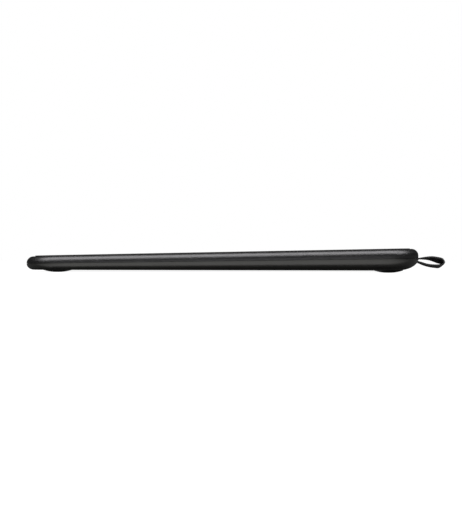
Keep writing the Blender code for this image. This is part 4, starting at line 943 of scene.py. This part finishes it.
LEAF_SIZE = (0.15 * MM, 0.9 * MM, 2.3 * MM)  # thickness, width, height
LEAF_BOW = 0.55 * MM
LEAF_STEPS = 16
LEAF_SLOT = 0.25 * MM  # slot beyond a leaf, each side
LEAF_ROWS = {"battery_contacts": (3, 3.0 * MM), "module_connector": (5, 1.8 * MM)}


def leaf_spring(name):
    """A strip that bows towards +X, as a grid that is bent and then thickened."""
    leaf = start_piece(name, "grid", x_subdivisions=LEAF_STEPS, y_subdivisions=2, size=1)
    for vert in leaf.data.vertices:
        along, across = vert.co.x, vert.co.y
        vert.co = (LEAF_BOW * cos(pi * along) ** 2, across * LEAF_SIZE[1], along * LEAF_SIZE[2])
    apply_modifier(leaf, "SOLIDIFY", thickness=LEAF_SIZE[0], offset=0)
    return close_up(leaf)


for node, (count, pitch) in LEAF_ROWS.items():
    low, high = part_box(node)
    face = high.x - LEAF_BOW - LEAF_SIZE[0] / 2
    middle = (low + high) / 2
    half_y, half_z = LEAF_SIZE[1] / 2 + LEAF_SLOT, (LEAF_SIZE[2] + LEAF_SLOT) / 2
    carrier = box(f"{node}_block", low, (face, high.y, high.z))
    slots = []
    for number in range(count):
        y = middle.y + (number - (count - 1) / 2) * pitch
        slot_low = (face - LEAF_BOW, y - half_y, middle.z - half_z)
        slots.append(box("slot", slot_low, (face + OVERRUN, y + half_y, middle.z + half_z)))
    combine(carrier, slots)
    break_edges(carrier)
    dress(carrier, FILLED_NYLON, "connector_plastic", node)
    leaves = settle(row_of(leaf_spring(f"{node}_leaves"), count, pitch), (face, middle.y, middle.z))
    smooth(leaves)
    dress(leaves, GOLD_PLATE, "connector_plastic", node)

# Nib rack, spare nibs and nib ring
# A moulded rack in the third bay. Three spare pen nibs lie in its troughs, and the open ring of steel wire
# that pulls a worn nib out of the pen is pressed into the groove beside them.

NIB_RADIUS = 0.8 * MM
NIB_PROFILE_SHARES = (  # across, of the radius; along, of the length
    (0.86, 0.0), (1.0, 0.02), (1.0, 0.12), (0.94, 0.13), (0.94, 0.17), (1.0, 0.18), (1.0, 0.84), (0.9, 0.86),
    (0.72, 0.9), (0.6, 0.95), (0.48, 0.98), (0.28, 0.997), (0.08, 1.0),
)
RING_WIRE = 0.52 * MM
RING_OPENING = 0.35  # radians, each side of its gap
RING_STEPS = 96
BAND_SCALE = 0.314  # a wave texture's scale at which its bands are a metre apart

# Black ABS as it leaves a machined mould: matt, with slow flow lines across it and fine tool marks.
look = start_look("moulded_abs")
flow, marks = grain(look, 4, 3.0, 1.5), grain(look, (3, 0.15, 1), 1.0)
MOULDED_ABS = skin(look, flow, ("#202022", "#2c2c2f"), (0.35, 0.65, 3, 0.46, 0.6), 0.01, marks)

# Turned acetal rod: dark grey and waxy, with fine rings left by the lathe all along it.
look = start_look("acetal", {"IOR": 1.48})
waves = {"Vector": look.place, "Scale": BAND_SCALE / (0.12 * MM), "Distortion": 0.6, "Detail": 2.0}
rings = look.add("TexWave", waves, bands_direction="X").outputs["Fac"]
ACETAL = skin(look, rings, ("#2b2b2e", "#3a3a3d"), (0.35, 0.65, 1.2, 0.3, 0.42), 0.006)

# Stainless steel wire as drawn: bright, with hair-fine lines and a few dull rubs from handling.
look = start_look("drawn_wire", {"Metallic": 1.0})
lines = grain(look, (4, 0.1, 0.1), 3.0)
DRAWN_WIRE = skin(look, lines, ("#a8abae", "#d4d6d8"), (0.4, 0.7, 2, 0.18, 0.38), 0.005)


def softened(name, node, width):
    """A copy of a CAD node with its triangles merged into faces and its edges rounded."""
    piece = bpy.data.objects.new(name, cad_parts[node].data.copy())
    bpy.context.scene.collection.objects.link(piece)
    piece.data.name = name
    open_up(piece)
    bpy.ops.mesh.remove_doubles(threshold=SAME_POINT)
    bpy.ops.mesh.dissolve_limited(angle_limit=radians(1))
    leave_edit()
    bpy.ops.object.shade_flat()
    break_edges(piece, width, 2, 30)
    return piece


rack = softened("nib_rack_moulding", "nib_rack", EDGE_BREAK)
dress(rack, MOULDED_ABS, "inner_plastic", "nib_rack")
for number in range(1, 4):
    low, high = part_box(f"spare_nib_{number}")
    profile = [(NIB_RADIUS * across, (high.x - low.x) * along) for across, along in NIB_PROFILE_SHARES]
    nib = turned(f"nib_{number}", 0, 0, profile, 32)
    settle(nib, (low.x, (low.y + high.y) / 2, (low.z + high.z) / 2), (0, pi / 2, 0))
    smooth(nib)
    dress(nib, ACETAL, "nib_plastic", f"spare_nib_{number}")

# A disc of wire, spun round to an open ring.
low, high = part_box("nib_ring")
half_wire = (high.z - low.z) / 2
radius = (high.y - low.y) / 2 - half_wire
middle = Vector((low.x + radius + half_wire, (low.y + high.y) / 2, (low.z + high.z) / 2))
start = middle + Vector((radius * cos(RING_OPENING), radius * sin(RING_OPENING), 0))
disc = {"vertices": 20, "radius": RING_WIRE, "fill_type": "NGON"}
turn = (pi / 2, 0, RING_OPENING)
ring = start_piece("nib_ring_wire", "circle", location=start, rotation=turn, **disc)
open_up(ring)
bpy.ops.mesh.spin(steps=RING_STEPS, angle=tau - 2 * RING_OPENING, center=middle, axis=(0, 0, 1))
leave_edit()
close_up(ring)
break_edges(ring, RING_WIRE / 3, 3, 60)
dress(ring, DRAWN_WIRE, "screw_steel", "nib_ring")

# Boards, shield and cable
# The sensor board lies under the drawing surface on a laminated foil shield, the main board under the keys,
# and a flat polyimide cable joins them. The boards are glass-epoxy with solder mask over etched copper.


def finish_node(material, *nodes):
    """Gives CAD nodes that keep their own shape their material."""
    for name in nodes:
        paint(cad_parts[name], material)


def masked_board(name, pitch, randomness):
    """Green solder mask, glossy, paler where copper runs under it, with tinned via rings and a raw straw-
    coloured glass-epoxy edge. The real 0.15 mm tracks are drawn near 0.3 mm wide so that they show."""
    look = start_look(name, {"IOR": 1.52})
    add = look.add
    cells = {"Vector": look.place, "Scale": 1 / pitch, "Randomness": randomness}
    edges = add("TexVoronoi", cells, feature="DISTANCE_TO_EDGE", voronoi_dimensions="2D")
    points = add("TexVoronoi", cells, voronoi_dimensions="2D")
    track = 0.15 * MM / pitch
    tracks = add("MapRange", (edges, track, 1.3 * track, 1.0, 0.0))
    vias = add("MapRange", (points, 2 * track, 2.3 * track, 1.0, 0.0))
    tinned = (vias, (tracks, "#123d27", "#21623b"), "#a5a596")
    normal = add("SeparateXYZ", [add("TexCoord").outputs["Normal"]])
    upright = add("Math", [normal.outputs["Z"]], operation="ABSOLUTE")
    face = add("Math", (upright, 0.5), operation="GREATER_THAN")
    return skin(look, face, ("#8d8658", tinned), (0.3, 0.7, 6, 0.26, 0.4), 0.03, tracks)


# Amber polyimide film over etched copper: warm and glossy, with a darker track every half millimetre.
look = start_look("polyimide_film", {"IOR": 1.6})
waves = {"Vector": look.place, "Scale": BAND_SCALE / (0.5 * MM)}
stripes = look.add("TexWave", waves, bands_direction="X").outputs["Fac"]
tracks = look.add("MapRange", (stripes, 0.45, 0.6))
POLYIMIDE_FILM = skin(look, tracks, ("#d08f34", "#a2592a"), (0.3, 0.7, 4, 0.2, 0.34), 0.02)

# Aluminium foil on polyester, rolled and pressed flat: dull silver with a roll grain and slight puckers.
look = start_look("laminated_foil", {"Metallic": 1.0})
rolled, puckers = grain(look, (20, 0.2, 1), 3.0), grain(look, 12, 2.0)
silver = ("#a0a1a3", "#bfc0c2")
LAMINATED_FOIL = skin(look, rolled, silver, (0.3, 0.7, 9, 0.3, 0.46), 0.2, puckers)

finish_node(masked_board("masked_main_board", pitch=2.6 * MM, randomness=0.6), "main_board")
finish_node(masked_board("masked_sensor_board", pitch=4.5 * MM, randomness=0.05), "sensor_board")
finish_node(POLYIMIDE_FILM, "sensor_cable")
finish_node(LAMINATED_FOIL, "shield_sheet")
connector = softened("sensor_connector_body", "sensor_connector", 0.06 * MM)
dress(connector, FILLED_NYLON, "connector_plastic", "sensor_connector")

# Chips, key switches and status light
# Two epoxy packages under the main board, a tact switch on it below each key's stem, and a white LED that
# shines up through a clear acrylic bar in the drawing surface.

PAD_PITCH = 0.5 * MM
PAD_HEIGHT = 0.25 * MM
BUTTON_HEIGHT = 0.58 * MM
LED_LENS = (0.55 * MM, 0.6 * MM)  # radius of the phosphor, and of the cup's edge round it

# Black epoxy with silica filler: dull and finely speckled, with a row of tinned pads at the board.
look = start_look("moulded_epoxy", {"IOR": 1.55})
add = look.add
filler = grain(look, 0.15, 3.0)
body = (filler, "#151517", "#29292c")
x, y, z = add("SeparateXYZ", [look.place]).outputs
wave = add("Math", (add("Math", (x, y), operation="ADD"), PAD_PITCH / 2), operation="PINGPONG")
on_pad = add("Math", (wave, PAD_PITCH / 4), operation="GREATER_THAN")
board_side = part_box("controller_chip")[1].z - PAD_HEIGHT
at_board = add("Math", (z, board_side), operation="GREATER_THAN")
pads = add("Math", (on_pad, at_board), operation="MULTIPLY")
fill(look.shader, {"Metallic": pads})
MOULDED_EPOXY = skin(look, pads, (body, "#c4c4bf"), (0.3, 0.7, 1.5, 0.42, 0.56), 0.01, filler)

# A tact switch: a thin stamped cover of stainless steel, satin and slightly scuffed, and a black button
# that stands up through it.
look = start_look("stamped_steel")
scuffs = grain(look, 0.4, 4.0)
cover = (scuffs, "#9fa1a3", "#c6c8ca")
height = look.add("SeparateXYZ", [look.place]).outputs["Z"]
button_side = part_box("key_switch_1")[0].z + BUTTON_HEIGHT
steel = look.add("Math", (height, button_side), operation="LESS_THAN")
fill(look.shader, {"Metallic": steel})
worn = (0.35, 0.65, 0.6, 0.28, 0.45)
STAMPED_STEEL = skin(look, steel, ("#1c1c1e", cover), worn, 0.004, scuffs)

# Clear moulded acrylic, its ends lightly frosted: it passes light softly and looks grey when unlit.
look = start_look("clear_acrylic", {"IOR": 1.49, "Transmission Weight": 0.9})
haze = grain(look, 0.25, 3.0)
CLEAR_ACRYLIC = skin(look, haze, ("#c3c7c9", "#dde0e2"), (0.35, 0.65, 0.5, 0.2, 0.38), 0.006)

# A white polyamide cup filled with yellow phosphor in clear silicone, with a speckle of phosphor grain.
look = start_look("led_resin")
low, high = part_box("status_led")
centre = {"Location": (-(low.x + high.x) / 2, -(low.y + high.y) / 2, 0), "Scale": (1, 1, 0)}
flat = look.add("Mapping", {"Vector": look.place, **centre})
out = look.add("VectorMath", [flat], operation="LENGTH")
lens = look.add("MapRange", (out, *LED_LENS, 1.0, 0.0))
phosphor = (grain(look, 0.08, 3.0), "#d8b93c", "#efd862")
LED_RESIN = skin(look, lens, ("#e6e3da", phosphor), (0.35, 0.65, 0.4, 0.3, 0.5))

finish_node(MOULDED_EPOXY, "controller_chip", "sensor_chip")
finish_node(STAMPED_STEEL, *(f"key_switch_{number}" for number in range(1, 5)))
finish_node(LED_RESIN, "status_led")
guide = softened("light_bar", "status_light_guide", 0.08 * MM)
dress(guide, CLEAR_ACRYLIC, "clear_plastic", "status_light_guide")

# Screws and loop rod
# Thread-forming screws of zinc-plated steel: four hold the case, three the main board. The pen loop's rod is
# plain drawn wire, trapped between the covers.

THREAD_PITCH = 0.6 * MM

# Bright zinc with a clear blue passivate: cool silver, faintly mottled, its thread drawn as rings.
look = start_look("zinc_plate", {"Metallic": 1.0})
waves = {"Vector": look.place, "Scale": BAND_SCALE / THREAD_PITCH}
thread = look.add("TexWave", waves, bands_direction="Z").outputs["Fac"]
mottle = grain(look, 0.8, 4.0)
ZINC_PLATE = skin(look, mottle, ("#a4abb3", "#c8ccd0"), (0.35, 0.65, 1, 0.25, 0.4), 0.15, thread)

finish_node(ZINC_PLATE, *(name for name in sorted(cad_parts) if "_screw_" in name))
finish_node(DRAWN_WIRE, "loop_rod")

# Camera
# A long lens at the height of the case's edge, level with it, a little in front of its middle.

FLOOR_ROLL = radians(0.145)  # the desk line falls this much towards the picture's right

camera_data = bpy.data.cameras.new("camera")
camera_data.sensor_width = 36.0
camera_data.lens = 92.2
camera_data.clip_start = 20 * MM
camera = bpy.data.objects.new("camera", camera_data)
bpy.context.scene.collection.objects.link(camera)
camera.location = (712 * MM, CASE_MIDDLE + 3.9 * MM, 5.45 * MM)
camera.rotation_euler = (pi / 2, -FLOOR_ROLL, pi / 2)
bpy.context.scene.camera = camera

# Floor, backdrop and light
# A white sheet under the tablet in a dark room, one broad soft box overhead, and a white card on the desk
# beside each end of the tablet's width. To the lens, the sheet and all round it are white.

FLOOR_SIZE = 8.0
FLOOR_GLOW = (0.035, 0.8)  # to the object: of the open floor, and of the part under the tablet's middle
LENS_GLOW = (0.92, 1.0)  # to the lens: near the tablet, where it keeps its shadow, and far off
LENS_GLOW_REACH = (0.2, 0.9)
LIT_HALF = (HALF_WIDTH - 9.5 * MM, HALF_DEPTH - 6 * MM)  # half the lit part's width and depth
LIT_EDGE = 8 * MM  # how softly it ends
SURROUND_LIGHT = 0.25  # what the white surround gives the object

# White paper. To the lens it is white, and it keeps the soft shadow. To the object it is dim, as a floor is
# under a low case, but for a lit part that shows the underside when it is seen from below.
floor = start_piece("floor", "plane", size=FLOOR_SIZE)
look = start_look("white_paper", {"Base Color": "#484848", "Roughness": 0.9})
add = look.add
soft = {"interpolation_type": "SMOOTHSTEP"}
away = add("VectorMath", [look.place], operation="LENGTH")
white = add("MapRange", (away, *LENS_GLOW_REACH, *LENS_GLOW), **soft)
lit = []
for offset, edge in zip(offsets(look, CASE_MIDDLE), LIT_HALF):
    lit.append(add("MapRange", (offset, edge - LIT_EDGE, edge, 1.0, 0.0), **soft))
dim = add("MapRange", (add("Math", lit, operation="MULTIPLY"), 0.0, 1.0, *FLOOR_GLOW))
seen = add("Mix", {"Factor": add("LightPath").outputs["Is Camera Ray"], "A": dim, "B": white})
both = add("AddShader", (look.shader, add("Emission", {"Strength": seen})))
behind = add("NewGeometry").outputs["Backfacing"]
fill(look.output, [add("MixShader", (behind, both, add("BsdfTransparent")))])
floor.data.materials.append(look.material)

world = bpy.data.worlds.new("surround")
bpy.context.scene.world = world
world.use_nodes = True
add = partial(add_node, world.node_tree)
ray = add("LightPath").outputs
seen = ray["Is Camera Ray"]
for kind in ("Is Transmission Ray", "Is Glossy Ray"):
    seen = add("Math", (seen, ray[kind]), operation="MAXIMUM")
strength = add("MapRange", (seen, 0.0, 1.0, SURROUND_LIGHT))
fill(world.node_tree.nodes["Background"], ((1, 1, 1, 1), strength))


def soft_box(name, place, aim, size, radiance):
    """A rectangular lamp, its radiance in the units of the picture's white."""
    lamp = bpy.data.lights.new(name, "AREA")
    lamp.shape = "RECTANGLE"
    lamp.size, lamp.size_y = size
    lamp.energy = radiance * pi * lamp.size * lamp.size_y
    holder = bpy.data.objects.new(name, lamp)
    holder.location = place
    holder.rotation_euler = (aim - place).to_track_quat("-Z", "Y").to_euler()
    holder.visible_camera = False
    bpy.context.scene.collection.objects.link(holder)


def show_to_gloss(piece, look, strength):
    """Gives a piece of the stage a white glow that only the gloss of the object sees."""
    fill(look.output, [look.add("Emission", ((1, 1, 1, 1), strength))])
    piece.data.materials.append(look.material)
    piece.visible_camera = piece.visible_diffuse = piece.visible_shadow = piece.visible_transmission = False


ROOM_RADIUS = 3.5
ROOM_GREY = 0.03
CARD_SIZE = (260 * MM, 220 * MM)
CARD_RISE = 0.1 * MM
CARD_GLOW = 1.75
CARD_EVEN = 70.4 * MM  # from the card's middle to where its light starts to fade along Y


def bounce_card(name, side):
    """A white card that lies beside the tablet and throws light under its edge, fading to its two ends."""
    place = (side * (HALF_WIDTH + CARD_SIZE[0] / 2), CASE_MIDDLE, CARD_RISE)
    card = start_piece(name, "plane", (*CARD_SIZE, 1), size=1, location=place)
    look = start_look(f"{name}_white")
    along = offsets(look, CASE_MIDDLE)["Y"]
    fade = look.add("MapRange", (along, CARD_EVEN, CARD_SIZE[1] / 2, CARD_GLOW, 0.0))
    show_to_gloss(card, look, fade)


room = start_piece("studio_room", "uv_sphere", segments=48, ring_count=24, radius=ROOM_RADIUS)
show_to_gloss(room, start_look("room_grey"), ROOM_GREY)
overhead, aim = Vector((0.42, CASE_MIDDLE, 0.94)), Vector((0.11, CASE_MIDDLE, 0))
soft_box("overhead", overhead, aim, size=(2.2, 0.85), radiance=6.8)
# The second one lights what opens downwards.
below, aim = Vector((0, CASE_MIDDLE, -0.8)), Vector((0, CASE_MIDDLE, 0))
soft_box("underneath", below, aim, size=(1.2, 1.2), radiance=1.0)
bounce_card("right_card", 1)
bounce_card("left_card", -1)
bpy.context.scene.view_settings.view_transform = "Standard"
